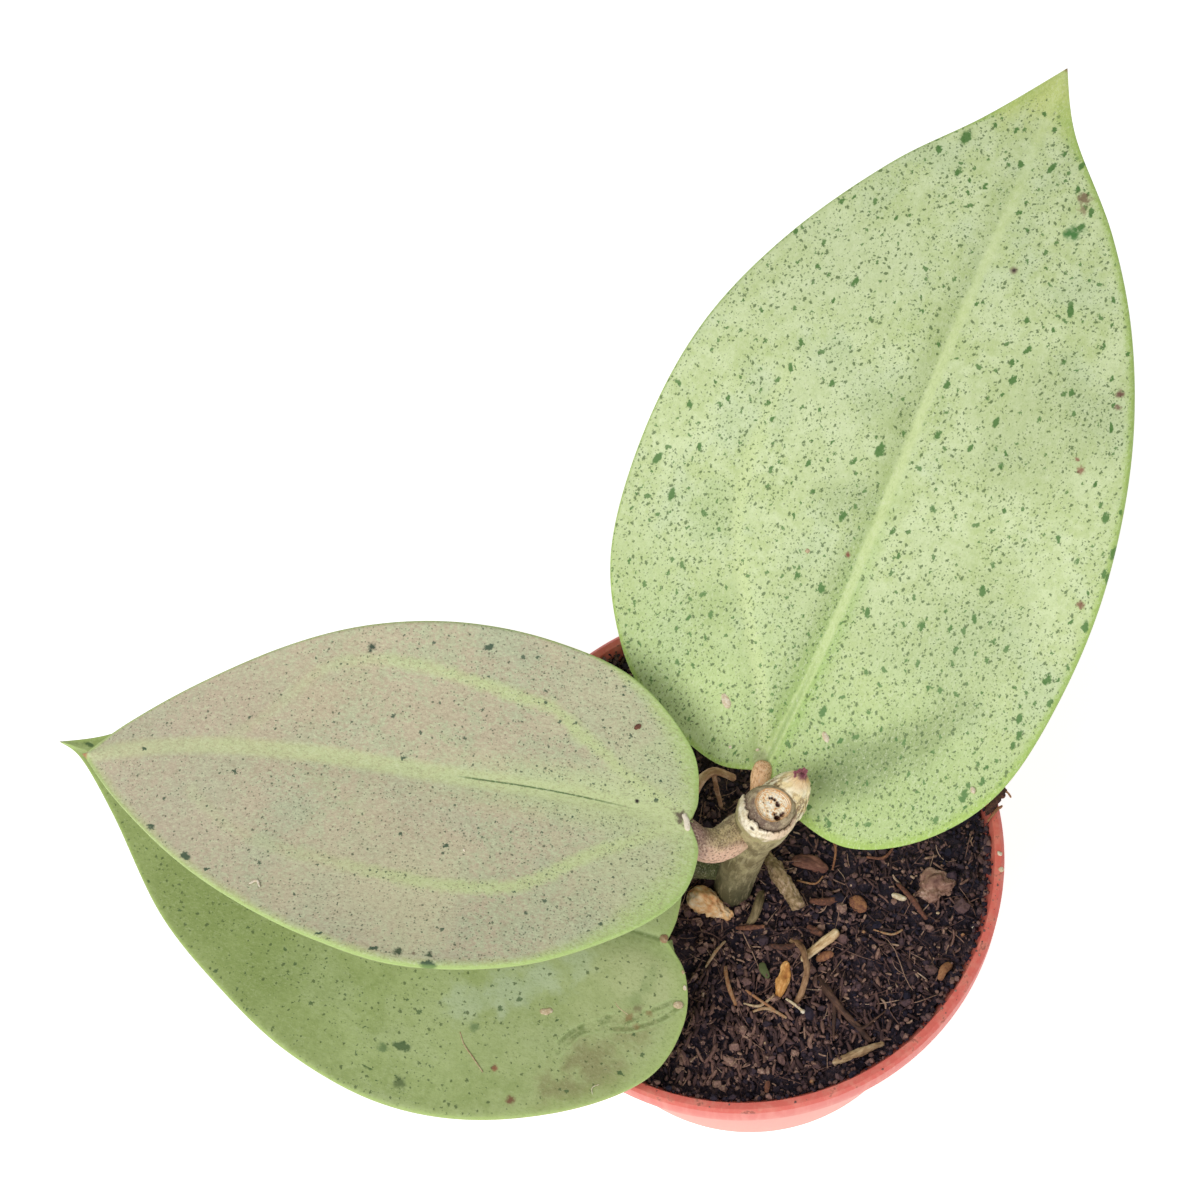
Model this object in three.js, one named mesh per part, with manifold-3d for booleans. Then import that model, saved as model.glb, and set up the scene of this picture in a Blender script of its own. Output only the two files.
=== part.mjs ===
// A young hoya in a small round nursery pot: a cut stem in dark fibrous soil, with two
// large heart-based leaves at its top node, one low leaf over the rim, and the loose bits
// of old stem, root, straw and bark that lie on the soil. Millimetres, +Z up, origin at
// the middle of the pot's flat base.
import * as THREE from 'three';
import { mergeVertices } from 'three/addons/utils/BufferGeometryUtils.js';
import Module from 'manifold-3d';

const wasm = await Module();
wasm.setup();

// ---------- driving dimensions ----------

const CLEARANCE = 0.3; // between pieces that touch

const POT = {
  height: 60,
  rimRadius: 35,
  rimDepth: 6,
  rimStep: 0.9, // how far the rim band stands proud of the wall
  baseRadius: 27,
  baseEdge: 1.2, // chamfer round the base
  wall: 1.3,
  floor: 2,
  sides: 66,
};
const DRAIN = { radius: 3, circle: 17, count: 6, sides: 14 };

const SOIL = {
  edgeHeight: 56.6,
  crown: 0.7, // the middle stands this much above the edge
  lump: 0.55,
  rings: 17,
  sides: 60,
};

// From the roots in the soil up to the cut above the top node. The radii are evenly spaced.
const STEM = {
  path: [[-4.4, -5.2, 40], [-2, -4, 57], [-0.3, -3.4, 67.5], [1.1, -3, 74.5], [3.4, -2.8, 85],
    [4.2, -2.8, 88]],
  radii: [1.9, 2.3, 2.5, 2.6, 2.6, 2.55, 2.55, 2.55, 2.55, 2.55, 2.6, 2.65, 2.75, 3, 3.55, 3.65, 2.5],
  sides: 18,
  steps: 16,
};

// The swollen bud beside the cut, from its root in the node to its blunt tip.
const BUD = {
  path: [[3.4, -2.4, 82], [5.4, -1.4, 83.6], [7.3, -0.5, 86], [8.7, 0.1, 88.5]],
  radii: [2.2, 2.9, 3.1, 3, 2.7, 2.1, 1.3, 0.7],
  sides: 16,
  steps: 14,
};

// Each leaf lies in its own frame: x from the base notch to the tip, y to the left, z up.
// Outlines run from the notch round each lobe to the tip, in that frame.
const LEAVES = [
  {
    name: 'leaf_right',
    colour: 0xc3d3a2,
    base: [4.2, 4.4, 80],
    tip: [61.2, 84, 100],
    tilt: 0,
    arch: 7,
    cup: 3,
    cupAt: 30,
    wave: { height: 0.7, turns: 2.3, start: 0.6 },
    dip: { at: [6, -14], depth: 1, reach: 9 },
    midrib: [[0, 0], [20, -1.6], [40, -1.7], [60, -1.2], [80, -1], [100, 0]],
    left: [[0, 0], [-1.5, 6], [1.3, 14.8], [6.6, 22], [17.6, 28.2], [32.6, 30.2], [48.8, 28.6],
      [64.5, 23.4], [78.4, 15.6], [89, 7.3], [100, 0]],
    right: [[0, 0], [-3.8, -6.3], [-4.7, -14.4], [0.2, -23], [9, -29.2], [22.3, -31.5],
      [37, -31.3], [52.7, -28.1], [67.5, -22.2], [80, -14.4], [91.2, -4.8], [100, 0]],
    petiole: {
      path: [[2.6, -1.6, 75.5], [3.2, 0.6, 77.6], [3.5, 2.1, 79.2], [3.8, 3.4, 80.4], [4.8, 5.2, 80.3]],
      radii: [1.9, 1.8, 1.6, 1.4, 1.35, 1.1],
    },
  },
  {
    name: 'leaf_left',
    colour: 0xb9b494,
    base: [-6.5, -2.5, 86],
    tip: [-81.5, 24, 79],
    tilt: 0,
    arch: 6,
    cup: 3.5,
    cupAt: 23,
    wave: { height: 0.5, turns: 1.7, start: 2.4 },
    dip: { at: [30, 10], depth: 0.6, reach: 12 },
    midrib: [[0, 0], [16, -0.9], [32, -1.1], [48, -1.8], [64, -1.7], [80, 0]],
    left: [[0, 0], [-1.7, 3.9], [-0.2, 10.3], [6.5, 16.6], [17.1, 22.1], [30.5, 24.4],
      [42, 22.5], [53.4, 18.5], [64, 13], [74, 5.8], [80, 0]],
    right: [[0, 0], [-0.7, -3.4], [1.1, -9.8], [8.8, -16.8], [19.5, -19.9], [31.1, -20.5],
      [43.5, -18.8], [54.3, -15.4], [65.5, -10], [74.5, -4.5], [80, 0]],
    petiole: {
      path: [[2, -2.9, 78.6], [0, -3.1, 80.2], [-1.9, -4.2, 81.2], [-4, -4.8, 82.2],
        [-5.8, -4.4, 83.6], [-7, -3, 85], [-8.3, -2.2, 85.6]],
      radii: [2.3, 2.35, 2.3, 2.2, 2.1, 1.8, 1.3],
    },
  },
  {
    name: 'leaf_low',
    colour: 0x93a86a,
    base: [-12, -12, 67],
    tip: [-87, 30.5, 68.5],
    tilt: -6,
    arch: 5,
    cup: 2,
    cupAt: 30,
    wave: { height: 0.7, turns: 2, start: 1.1 },
    dip: { at: [17, 9], depth: 0.8, reach: 8 },
    midrib: [[0, 0], [17, 0.8], [34, 1.2], [51, 1], [68, 0.5], [86, 0]],
    left: [[0, 0], [-3.6, 3.3], [-5.4, 9.5], [-3.4, 17.3], [4.4, 24.4], [16, 29.8], [28, 31.5],
      [40.5, 29.3], [52, 24.4], [63.5, 17.7], [74.5, 7.5], [82, 1.4], [86, 0]],
    right: [[0, 0], [-0.3, -3.5], [0.8, -9], [5, -17], [14, -24], [26, -27.5], [38, -27],
      [50, -23], [61, -16.5], [71, -9], [79.5, -2.9], [86, 0]],
    petiole: {
      path: [[-1.4, -3.4, 61.2], [-4.2, -1.6, 60.4], [-8, -1.5, 61], [-11.2, -5, 62.8],
        [-12.6, -9.4, 65], [-13.6, -12.3, 66.2]],
      radii: [1.6, 1.6, 1.55, 1.5, 1.5, 1.4, 1.1],
    },
  },
];

const BLADE = {
  rows: 30,
  columns: [0, 0.05, 0.3, 0.56, 0.8, 0.965], // from midrib to margin, as a share of the rung
  midThickness: 1.8,
  edgeThickness: 1,
  ribDepth: 1, // the midrib's ridge beneath the blade, at the base
  rungSweep: 2, // above 1, the rungs fan back into the lobes and sweep forward beyond them
};
const PETIOLE = { sides: 14, steps: 14 };

// Bits that lie on the soil or stand in it. Each is one tapering tube along its path.
const LITTER = [
  { name: 'corky_stub', colour: 0xd8a878, sides: 9, steps: 6,
    path: [[-7.6, -4, 59.6], [-5.9, -5.6, 59.2], [-4, -7.2, 58.4], [-2.2, -8.5, 57.4]],
    radii: [1.7, 1.9, 1.8, 1.2, 0.5] },
  { name: 'old_stub', colour: 0x9c9469, sides: 9, steps: 6,
    path: [[3.2, -0.2, 56.4], [4.2, -3.2, 58.6], [5.2, -6.4, 59.4], [6.1, -9.1, 59.6]],
    radii: [1, 1.1, 1.25, 1.35, 1.25, 0.9] },
  { name: 'olive_twig', colour: 0x7d7448, sides: 6, steps: 6,
    path: [[1.9, -5.2, 56.6], [1.1, -6.8, 58.2], [0.2, -8.6, 58.4], [-1, -9.6, 57.2]],
    radii: [0.45, 0.6, 0.6, 0.4] },
  { name: 'straw', colour: 0xd2b183, sides: 6, steps: 2,
    path: [[5, -15.6, 57.8], [7.8, -14.3, 58.2], [10.6, -12.9, 58.6]],
    radii: [0.5, 0.65, 0.6] },
  { name: 'orange_flake', colour: 0xc98a4c, sides: 7, steps: 5,
    path: [[3.2, -15.6, 58.4], [2.4, -17.4, 58.1], [1.5, -19, 57.8], [0.8, -20.4, 57.3]],
    radii: [0.35, 0.9, 0.8, 0.35] },
  { name: 'curled_root', colour: 0x8a6a4c, sides: 6, steps: 10,
    path: [[4.2, -12.6, 57], [5.4, -14.2, 58.6], [5.4, -17.4, 59.6], [4.2, -20, 58.6], [2.6, -21.4, 57]],
    radii: [0.45, 0.4, 0.4, 0.35] },
  { name: 'dark_root', colour: 0x4a3428, sides: 6, steps: 10,
    path: [[6.8, -17.8, 56.4], [7.5, -20.4, 58.2], [8.9, -23.2, 57.9], [10.4, -25.6, 57.6], [11.8, -27.9, 56.8]],
    radii: [0.5, 0.5, 0.4, 0.35] },
  { name: 'rim_root', colour: 0xa98c6c, sides: 6, steps: 8,
    path: [[6.3, -29.6, 56.8], [8.6, -29.4, 57.6], [11, -28.9, 57.6], [13.4, -28.4, 57]],
    radii: [0.35, 0.45, 0.45, 0.3] },
  { name: 'bark_chip', colour: 0x6b4a3a, sides: 7, steps: 4,
    path: [[23.2, -10.2, 57.4], [25, -9.7, 57.9], [27, -9.1, 57.3]],
    radii: [1, 1.7, 1.7, 0.9] },
  { name: 'red_bark', colour: 0x7c4a38, sides: 6, steps: 4,
    path: [[6.6, -1.9, 57.4], [8.8, -2.8, 57.8], [11, -4.2, 57.4]],
    radii: [0.6, 1, 0.9, 0.5] },
  { name: 'dry_root', colour: 0xa8845f, sides: 7, steps: 14,
    path: [[-6.8, 3.6, 55], [-6, 5.6, 62], [-4.2, 8, 66], [-1.7, 9.5, 66.6], [1.2, 8.4, 65.2]],
    radii: [0.5, 0.6, 0.65, 0.7, 0.6, 0.45],
    branches: [
      { path: [[-1.6, 9.4, 66.4], [-1.5, 8.4, 62], [-1.3, 7.6, 58], [-1.2, 7.2, 54.6]],
        radii: [0.35, 0.32, 0.3] },
    ] },
];
const BRANCH = { sides: 6, steps: 6 };

// ---------- shared shaping ----------

const toVectors = (points) => points.map(([x, y, z]) => new THREE.Vector3(x, y, z));
const toFlat = (points) => points.map(([x, y]) => new THREE.Vector2(x, y));

// A value read from an evenly spaced list, at a share of the way along it.
function along(list, share) {
  const place = share * (list.length - 1);
  const low = Math.min(Math.floor(place), list.length - 2);
  return THREE.MathUtils.lerp(list[low], list[low + 1], place - low);
}

// A geometry with shared corners and no flat triangles, as a solid that can be cut or joined.
function toSolid(geometry) {
  const bare = geometry.clone();
  bare.deleteAttribute('normal');
  bare.deleteAttribute('uv');
  const welded = mergeVertices(bare, 1e-4);
  const corners = welded.index.array;
  const kept = [];
  for (let i = 0; i < corners.length; i += 3) {
    const [a, b, c] = [corners[i], corners[i + 1], corners[i + 2]];
    if (a !== b && b !== c && c !== a) {
      kept.push(a, b, c);
    }
  }
  return new wasm.Manifold(new wasm.Mesh({
    numProp: 3,
    vertProperties: welded.attributes.position.array,
    triVerts: new Uint32Array(kept),
  }));
}

function toGeometry(solid) {
  const mesh = solid.getMesh();
  const geometry = new THREE.BufferGeometry();
  geometry.setAttribute('position', new THREE.BufferAttribute(mesh.vertProperties, 3));
  geometry.setIndex(new THREE.BufferAttribute(mesh.triVerts, 1));
  geometry.computeVertexNormals();
  return geometry;
}

// Rings of equal count, one after another, skinned into a closed body. The first and the
// last ring are closed by fans to the two end points. Quads from mirrorFrom on round the
// ring are split along their other diagonal.
function skinRings(rings, firstPoint, lastPoint, mirrorFrom = Infinity) {
  const count = rings[0].length;
  const positions = [...rings.flat(), firstPoint, lastPoint].flatMap((p) => [p.x, p.y, p.z]);
  const first = rings.length * count;
  const last = first + 1;
  const faces = [];
  for (let j = 0; j < count; j += 1) {
    const next = (j + 1) % count;
    const end = (rings.length - 1) * count;
    faces.push(first, next, j);
    faces.push(last, end + j, end + next);
    for (let i = 0; i + 1 < rings.length; i += 1) {
      const low = i * count;
      const high = low + count;
      if (j < mirrorFrom) {
        faces.push(low + j, low + next, high + next);
        faces.push(low + j, high + next, high + j);
      } else {
        faces.push(low + j, low + next, high + j);
        faces.push(low + next, high + next, high + j);
      }
    }
  }
  const geometry = new THREE.BufferGeometry();
  geometry.setAttribute('position', new THREE.Float32BufferAttribute(positions, 3));
  geometry.setIndex(faces);
  return geometry;
}

// A solid tube along a smooth path, its radius read from a list; extra is added all round.
function taperedTube({ path, radii, sides, steps }, extra = 0) {
  const curve = new THREE.CatmullRomCurve3(toVectors(path));
  const frames = curve.computeFrenetFrames(steps, false);
  const rings = [];
  for (let i = 0; i <= steps; i += 1) {
    const centre = curve.getPointAt(i / steps);
    const radius = along(radii, i / steps) + extra;
    const ring = [];
    for (let j = 0; j < sides; j += 1) {
      const turn = (2 * Math.PI * j) / sides;
      ring.push(centre.clone()
        .addScaledVector(frames.normals[i], radius * Math.cos(turn))
        .addScaledVector(frames.binormals[i], radius * Math.sin(turn)));
    }
    rings.push(ring);
  }
  const start = curve.getPointAt(0).addScaledVector(frames.tangents[0], -extra);
  const end = curve.getPointAt(1).addScaledVector(frames.tangents[steps], extra);
  return skinRings(rings, start, end);
}

// ---------- pot and soil ----------

// The wall's outer radius at a height, on the straight taper from base to rim.
function potRadius(height) {
  const top = POT.rimRadius - POT.rimStep;
  return THREE.MathUtils.lerp(POT.baseRadius, top, height / POT.height);
}

// The pot's inner radius: the wall's inside up to the rim band, then out to the mouth.
function potInside(height) {
  const underRim = POT.height - POT.rimDepth;
  if (height <= underRim) {
    return potRadius(height) - POT.wall;
  }
  const share = (height - underRim) / POT.rimDepth;
  return THREE.MathUtils.lerp(potRadius(underRim) - POT.wall, POT.rimRadius - POT.wall, share);
}

function turned(profile, sides) {
  return new THREE.LatheGeometry(toFlat(profile), sides).rotateX(Math.PI / 2);
}

function makePot() {
  const underRim = POT.height - POT.rimDepth;
  const rimEdge = 0.4;
  const body = toSolid(turned([
    [0, 0],
    [POT.baseRadius - POT.baseEdge, 0],
    [potRadius(POT.baseEdge), POT.baseEdge],
    [potRadius(underRim), underRim],
    [POT.rimRadius - rimEdge, underRim],
    [POT.rimRadius, underRim + rimEdge],
    [POT.rimRadius, POT.height - rimEdge],
    [POT.rimRadius - rimEdge, POT.height],
    [potInside(POT.height), POT.height],
    [potInside(underRim), underRim],
    [potInside(POT.floor), POT.floor],
    [0, POT.floor],
  ], POT.sides));
  let pot = body;
  for (let i = 0; i < DRAIN.count; i += 1) {
    const turn = (2 * Math.PI * i) / DRAIN.count;
    const hole = new THREE.CylinderGeometry(DRAIN.radius, DRAIN.radius, 4 * POT.floor, DRAIN.sides);
    hole.rotateX(Math.PI / 2);
    hole.translate(DRAIN.circle * Math.cos(turn), DRAIN.circle * Math.sin(turn), 0);
    pot = pot.subtract(toSolid(hole));
  }
  return toGeometry(pot);
}

// Crumbly relief of the soil's top.
function soilLumps(x, y) {
  const broad = Math.sin(0.62 * x + 1.3) * Math.cos(0.55 * y - 0.4);
  const middling = Math.sin(1.1 * x - 0.5 * y + 2.1) + Math.cos(0.6 * x + 1.25 * y);
  return SOIL.lump * (0.6 * broad + 0.35 * middling);
}

function makeSoil(pressedIn) {
  const floor = POT.floor + CLEARANCE;
  const underRim = POT.height - POT.rimDepth;
  const edge = potInside(SOIL.edgeHeight) - CLEARANCE;
  const profile = [
    [0, floor],
    [potInside(floor) - CLEARANCE, floor],
    [potInside(underRim) - CLEARANCE, underRim],
  ];
  for (let i = SOIL.rings; i >= 0; i -= 1) {
    const share = i / SOIL.rings;
    profile.push([edge * share, SOIL.edgeHeight + SOIL.crown * (1 - share * share)]);
  }
  const geometry = turned(profile, SOIL.sides);
  const place = geometry.attributes.position;
  for (let i = 0; i < place.count; i += 1) {
    const [x, y, z] = [place.getX(i), place.getY(i), place.getZ(i)];
    if (z > SOIL.edgeHeight) {
      place.setZ(i, z + soilLumps(x, y));
    }
  }
  return toGeometry(pressedIn.reduce((soil, piece) => soil.subtract(piece), toSolid(geometry)));
}

// ---------- leaves ----------

// Height of the blade's middle surface over the leaf's own plane.
function bladeHeight(leaf, length, x, y) {
  const share = x / length;
  const across = y / leaf.cupAt;
  const ripple = Math.sin(2 * Math.PI * leaf.wave.turns * share + leaf.wave.start);
  const [dipX, dipY] = leaf.dip.at;
  const fromDip = ((x - dipX) ** 2 + (y - dipY) ** 2) / leaf.dip.reach ** 2;
  return 4 * leaf.arch * share * (1 - share)
    + leaf.cup * across ** 2
    + leaf.wave.height * ripple * across ** 2
    - leaf.dip.depth * Math.exp(-fromDip);
}

// One cross ring of the blade: over the top from left to right, and back beneath. The
// outermost corner at each margin lies in the middle surface.
function bladeRing(leaf, length, share, curves) {
  const spine = curves.midrib.getPoint(share ** BLADE.rungSweep);
  const left = curves.left.getPoint(share);
  const right = curves.right.getPoint(share);
  const corner = (edge, reach, side) => {
    const flat = spine.clone().lerp(edge, reach);
    const height = bladeHeight(leaf, length, flat.x, flat.y);
    const body = BLADE.edgeThickness + (BLADE.midThickness - BLADE.edgeThickness) * (1 - reach ** 2);
    const rib = reach === 0 && side < 0 ? BLADE.ribDepth * (1 - share) : 0;
    return new THREE.Vector3(flat.x, flat.y, height + side * (body / 2 + rib));
  };
  const inward = [...BLADE.columns].reverse();
  const outward = BLADE.columns.slice(1);
  return [
    corner(left, 1, 0),
    ...inward.map((reach) => corner(left, reach, 1)),
    ...outward.map((reach) => corner(right, reach, 1)),
    corner(right, 1, 0),
    ...inward.map((reach) => corner(right, reach, -1)),
    ...outward.map((reach) => corner(left, reach, -1)),
  ];
}

// The rings skinned into a blade, each quad split the same way on both faces.
function makeBlade(leaf, length) {
  const curves = {
    midrib: new THREE.SplineCurve(toFlat(leaf.midrib)),
    left: new THREE.SplineCurve(toFlat(leaf.left)),
    right: new THREE.SplineCurve(toFlat(leaf.right)),
  };
  const rings = [];
  for (let i = 1; i < BLADE.rows; i += 1) {
    rings.push(bladeRing(leaf, length, i / BLADE.rows, curves));
  }
  const notch = new THREE.Vector3(0, 0, bladeHeight(leaf, length, 0, 0));
  const tip = new THREE.Vector3(length, 0, bladeHeight(leaf, length, length, 0));
  return skinRings(rings, notch, tip, rings[0].length / 2);
}

// The leaf's frame in the pot's frame: x to the tip, z up, then tilted about x.
function leafPlace(leaf) {
  const base = new THREE.Vector3(...leaf.base);
  const forward = new THREE.Vector3(...leaf.tip).sub(base);
  const length = forward.length();
  forward.normalize();
  const up = new THREE.Vector3(0, 0, 1);
  up.addScaledVector(forward, -up.dot(forward)).normalize();
  up.applyAxisAngle(forward, THREE.MathUtils.degToRad(leaf.tilt));
  const left = new THREE.Vector3().crossVectors(up, forward);
  const place = new THREE.Matrix4().makeBasis(forward, left, up).setPosition(base);
  return { place, length };
}

function makeLeaf(leaf, keptClear) {
  const { place, length } = leafPlace(leaf);
  const blade = toSolid(makeBlade(leaf, length).applyMatrix4(place));
  const petiole = toSolid(taperedTube({ ...PETIOLE, ...leaf.petiole }));
  const whole = blade.add(petiole).subtract(keptClear);
  return { geometry: toGeometry(whole).applyMatrix4(place.clone().invert()), place };
}

// ---------- stem, bud and litter ----------

function makeBit(bit, extra = 0) {
  let solid = toSolid(taperedTube(bit, extra));
  for (const branch of bit.branches ?? []) {
    solid = solid.add(toSolid(taperedTube({ ...BRANCH, ...branch }, extra)));
  }
  return solid;
}

// ---------- the assembly ----------

const plant = new THREE.Group();

function addPiece(name, geometry, colour, roughness) {
  const material = new THREE.MeshStandardMaterial({ color: colour, roughness, metalness: 0 });
  const mesh = new THREE.Mesh(geometry, material);
  mesh.name = name;
  plant.add(mesh);
  return mesh;
}

const stem = toSolid(taperedTube(STEM));
const stemRoom = toSolid(taperedTube(STEM, CLEARANCE));
const lowPetiole = LEAVES.find((leaf) => leaf.name === 'leaf_low').petiole;
const lowPetioleRoom = toSolid(taperedTube({ ...PETIOLE, ...lowPetiole }, CLEARANCE));
const litterRoom = LITTER.map((bit) => makeBit(bit, CLEARANCE));

addPiece('pot', makePot(), 0xc4604f, 0.55);
addPiece('soil', makeSoil([stemRoom, lowPetioleRoom, ...litterRoom]), 0x2e2320, 0.95);
addPiece('stem', toGeometry(stem), 0x8a8a5a, 0.7);
addPiece('bud', toGeometry(toSolid(taperedTube(BUD)).subtract(stemRoom)), 0xd9c79a, 0.7);

for (const leaf of LEAVES) {
  const { geometry, place } = makeLeaf(leaf, stemRoom);
  const mesh = addPiece(leaf.name, geometry, leaf.colour, 0.5);
  place.decompose(mesh.position, mesh.quaternion, mesh.scale);
}

const standing = [stemRoom, lowPetioleRoom];
LITTER.forEach((bit, i) => {
  const neighbours = [...standing, ...litterRoom.slice(0, i)];
  const solid = neighbours.reduce((rest, room) => rest.subtract(room), makeBit(bit));
  addPiece(bit.name, toGeometry(solid), bit.colour, 0.9);
});

export default plant;
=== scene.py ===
# %% [markdown]
# # A young hoya in a small nursery pot
#
# The plant is a cut stem with three big heart-based leaves, in a round plastic pot of dark
# peat. The solid model gives every piece its true size and place. This lesson dresses it:
# fine leaf blades with veins and flecks, a soft-edged pot, crumbly peat with coir fibres,
# and the bits of old stem and root that lie about on it.
#
# Everything is in metres, with +Z up and the origin in the middle of the pot's flat base.

import math
from types import SimpleNamespace

import bpy
import numpy as np
from mathutils import Matrix, Vector, noise


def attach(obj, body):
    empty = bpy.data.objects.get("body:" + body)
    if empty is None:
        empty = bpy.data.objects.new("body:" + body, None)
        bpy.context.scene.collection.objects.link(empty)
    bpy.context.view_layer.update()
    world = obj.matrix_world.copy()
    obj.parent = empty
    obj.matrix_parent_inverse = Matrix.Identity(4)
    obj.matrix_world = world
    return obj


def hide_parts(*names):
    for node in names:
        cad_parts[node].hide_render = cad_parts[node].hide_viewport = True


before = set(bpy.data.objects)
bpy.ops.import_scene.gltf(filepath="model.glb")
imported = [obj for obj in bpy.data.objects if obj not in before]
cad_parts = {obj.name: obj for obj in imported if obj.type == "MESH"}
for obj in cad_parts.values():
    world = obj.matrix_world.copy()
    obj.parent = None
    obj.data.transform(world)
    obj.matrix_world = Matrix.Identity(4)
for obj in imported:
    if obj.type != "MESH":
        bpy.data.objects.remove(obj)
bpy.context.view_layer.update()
MM = 0.001
print("solid nodes:", len(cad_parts))

# %% [markdown]
# ## Camera
#
# The plant is seen steeply from above. A short telephoto keeps the pot round and the leaves
# unstretched, as in the photograph, and a small roll turns the whole plant in the picture.

# %% Camera
LENS, SENSOR = 85, 36.0  # millimetres
NEAREST, FARTHEST = 0.01, 20.0
LOOK_DOWN = math.radians(69)
ROLL = math.radians(-11)
DISTANCE = 392 * MM
LOOK_AT = Vector((-12, 39, 60)) * MM


def add_camera():
    back = Vector((0, -math.cos(LOOK_DOWN), math.sin(LOOK_DOWN)))
    right = Vector((1, 0, 0))
    up = back.cross(right)
    rolled_right = right * math.cos(ROLL) + up * math.sin(ROLL)
    rolled_up = up * math.cos(ROLL) - right * math.sin(ROLL)
    turn = Matrix((rolled_right, rolled_up, back)).transposed()
    data = bpy.data.cameras.new("camera")
    data.lens, data.sensor_width = LENS, SENSOR
    data.clip_start, data.clip_end = NEAREST, FARTHEST
    camera = bpy.data.objects.new("camera", data)
    camera.matrix_world = Matrix.Translation(LOOK_AT + back * DISTANCE) @ turn.to_4x4()
    bpy.context.scene.collection.objects.link(camera)
    bpy.context.scene.camera = camera
    return camera


camera = add_camera()
print("camera stands at", tuple(round(c, 3) for c in camera.matrix_world.translation))

# %% [markdown]
# ## Modelling by hand
#
# New pieces start from one of Blender's primitives. Loading leaves the solid nodes selected,
# so a new piece begins by letting go of everything. At the end its modifiers are applied and
# it is told what it stands for: the body it rides on, the node it replaces and its finish.


# %% Small hands: start a piece, finish a piece
def let_go():
    if bpy.context.object and bpy.context.object.mode != "OBJECT":
        bpy.ops.object.mode_set(mode="OBJECT")
    bpy.ops.object.select_all(action="DESELECT")


def new_piece(name, add, **sizes):
    """A primitive added by the operator add, made the active object and named."""
    let_go()
    add(**sizes)
    piece = bpy.context.object
    piece.name = piece.data.name = name
    return piece


def new_grid(name, columns, rows):
    """A flat grid from -1 to 1, to be bent into a sheet or a round form."""
    return new_piece(name, bpy.ops.mesh.primitive_grid_add, size=2,
                     x_subdivisions=columns, y_subdivisions=rows)


def new_ball(name, detail, size=1.0):
    """A ball of triangles, of a size in mm."""
    return new_piece(name, bpy.ops.mesh.primitive_ico_sphere_add, subdivisions=detail,
                     radius=size * MM / 2)


def in_edit(piece, *steps):
    """Runs edit-mode steps on a piece, with all of its mesh selected."""
    let_go()
    piece.select_set(True)
    bpy.context.view_layer.objects.active = piece
    bpy.ops.object.mode_set(mode="EDIT")
    take_all()
    for step in steps:
        step()
    bpy.ops.object.mode_set(mode="OBJECT")


def take_all():
    bpy.ops.mesh.select_all(action="SELECT")


def face_out():
    bpy.ops.mesh.normals_make_consistent(inside=False)


def modify(piece, kind, **settings):
    """Adds one modifier with its settings and applies it."""
    let_go()
    piece.select_set(True)
    bpy.context.view_layer.objects.active = piece
    modifier = piece.modifiers.new(kind.lower(), kind)
    for key, value in settings.items():
        setattr(modifier, key, value)
    bpy.ops.object.modifier_apply(modifier=modifier.name)


def points_of(piece):
    """The places of a piece's vertices, as an array."""
    flat = np.empty(len(piece.data.vertices) * 3, np.float32)
    piece.data.vertices.foreach_get("co", flat)
    return flat.reshape(-1, 3).astype(float)


def set_points(piece, places):
    piece.data.vertices.foreach_set("co", np.asarray(places, np.float32).ravel())
    piece.data.update()


def write(piece, name, values):
    """Writes an attribute with one number or one vector for each vertex."""
    values = np.asarray(values, np.float32)
    kind, key = ("FLOAT", "value") if values.ndim == 1 else ("FLOAT_VECTOR", "vector")
    made = piece.data.attributes.new(name, kind, "POINT")
    made.data.foreach_set(key, values.ravel())


def finished(piece, finish, slot, *nodes, smooth=True):
    """Gives a piece its finish, its body and the nodes that it stands for. The slot is not used."""
    piece.data.materials.clear()
    piece.data.materials.append(finish)
    if smooth:
        piece.data.polygons.foreach_set("use_smooth", [True] * len(piece.data.polygons))
    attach(piece, "root")
    if nodes:
        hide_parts(*nodes)
    print(piece.name, "has", len(piece.data.polygons), "faces")
    return piece


# %% [markdown]
# ## Finishes written as sums
#
# A finish is a tree of shader nodes. It reads better as sums, such as `1 - mask`, so one
# small class wraps a socket and turns each sum into its Math node. Every other node comes
# from one method that takes its type, its settings and the values of its sockets. Noise lies
# about 0.5, so that sway, which centres it on zero, lets it push a value either way.


# %% A wire between shader nodes
class Wire:
    """One output socket. Sums on it add Math nodes, and wire["Color"] is another output."""

    def __init__(self, finish, socket):
        self.finish, self.socket = finish, socket

    def __getitem__(self, name):
        return Wire(self.finish, self.socket.node.outputs[name])

    def math(self, operation, *values, clamp=False):
        settings = {"operation": operation, "use_clamp": clamp}
        return self.finish.node("ShaderNodeMath", settings, dict(enumerate(values)))

    def __add__(self, other):
        return self.math("ADD", self, other)

    def __radd__(self, other):
        return self.math("ADD", other, self)

    def __sub__(self, other):
        return self.math("SUBTRACT", self, other)

    def __rsub__(self, other):
        return self.math("SUBTRACT", other, self)

    def __mul__(self, other):
        return self.math("MULTIPLY", self, other)

    def __rmul__(self, other):
        return self.math("MULTIPLY", other, self)

    def __truediv__(self, other):
        return self.math("DIVIDE", self, other)

    def __pow__(self, other):
        return self.math("POWER", self, other)

    def __lt__(self, other):
        return self.math("LESS_THAN", self, other)

    def __gt__(self, other):
        return self.math("GREATER_THAN", self, other)

    def __abs__(self):
        return self.math("ABSOLUTE", self)

    def at_least(self, other):
        return self.math("MAXIMUM", self, other)

    def clamped(self):
        return self.math("ADD", self, 0, clamp=True)

    def sway(self, amount):
        """Noise shifted to swing about zero, times an amount."""
        return (self - 0.5) * amount


print("sums that a wire can do: + - * / ** < > abs")


# %% A finish
def linear(c):
    return c / 12.92 if c <= 0.04045 else ((c + 0.055) / 1.055) ** 2.4


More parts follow.
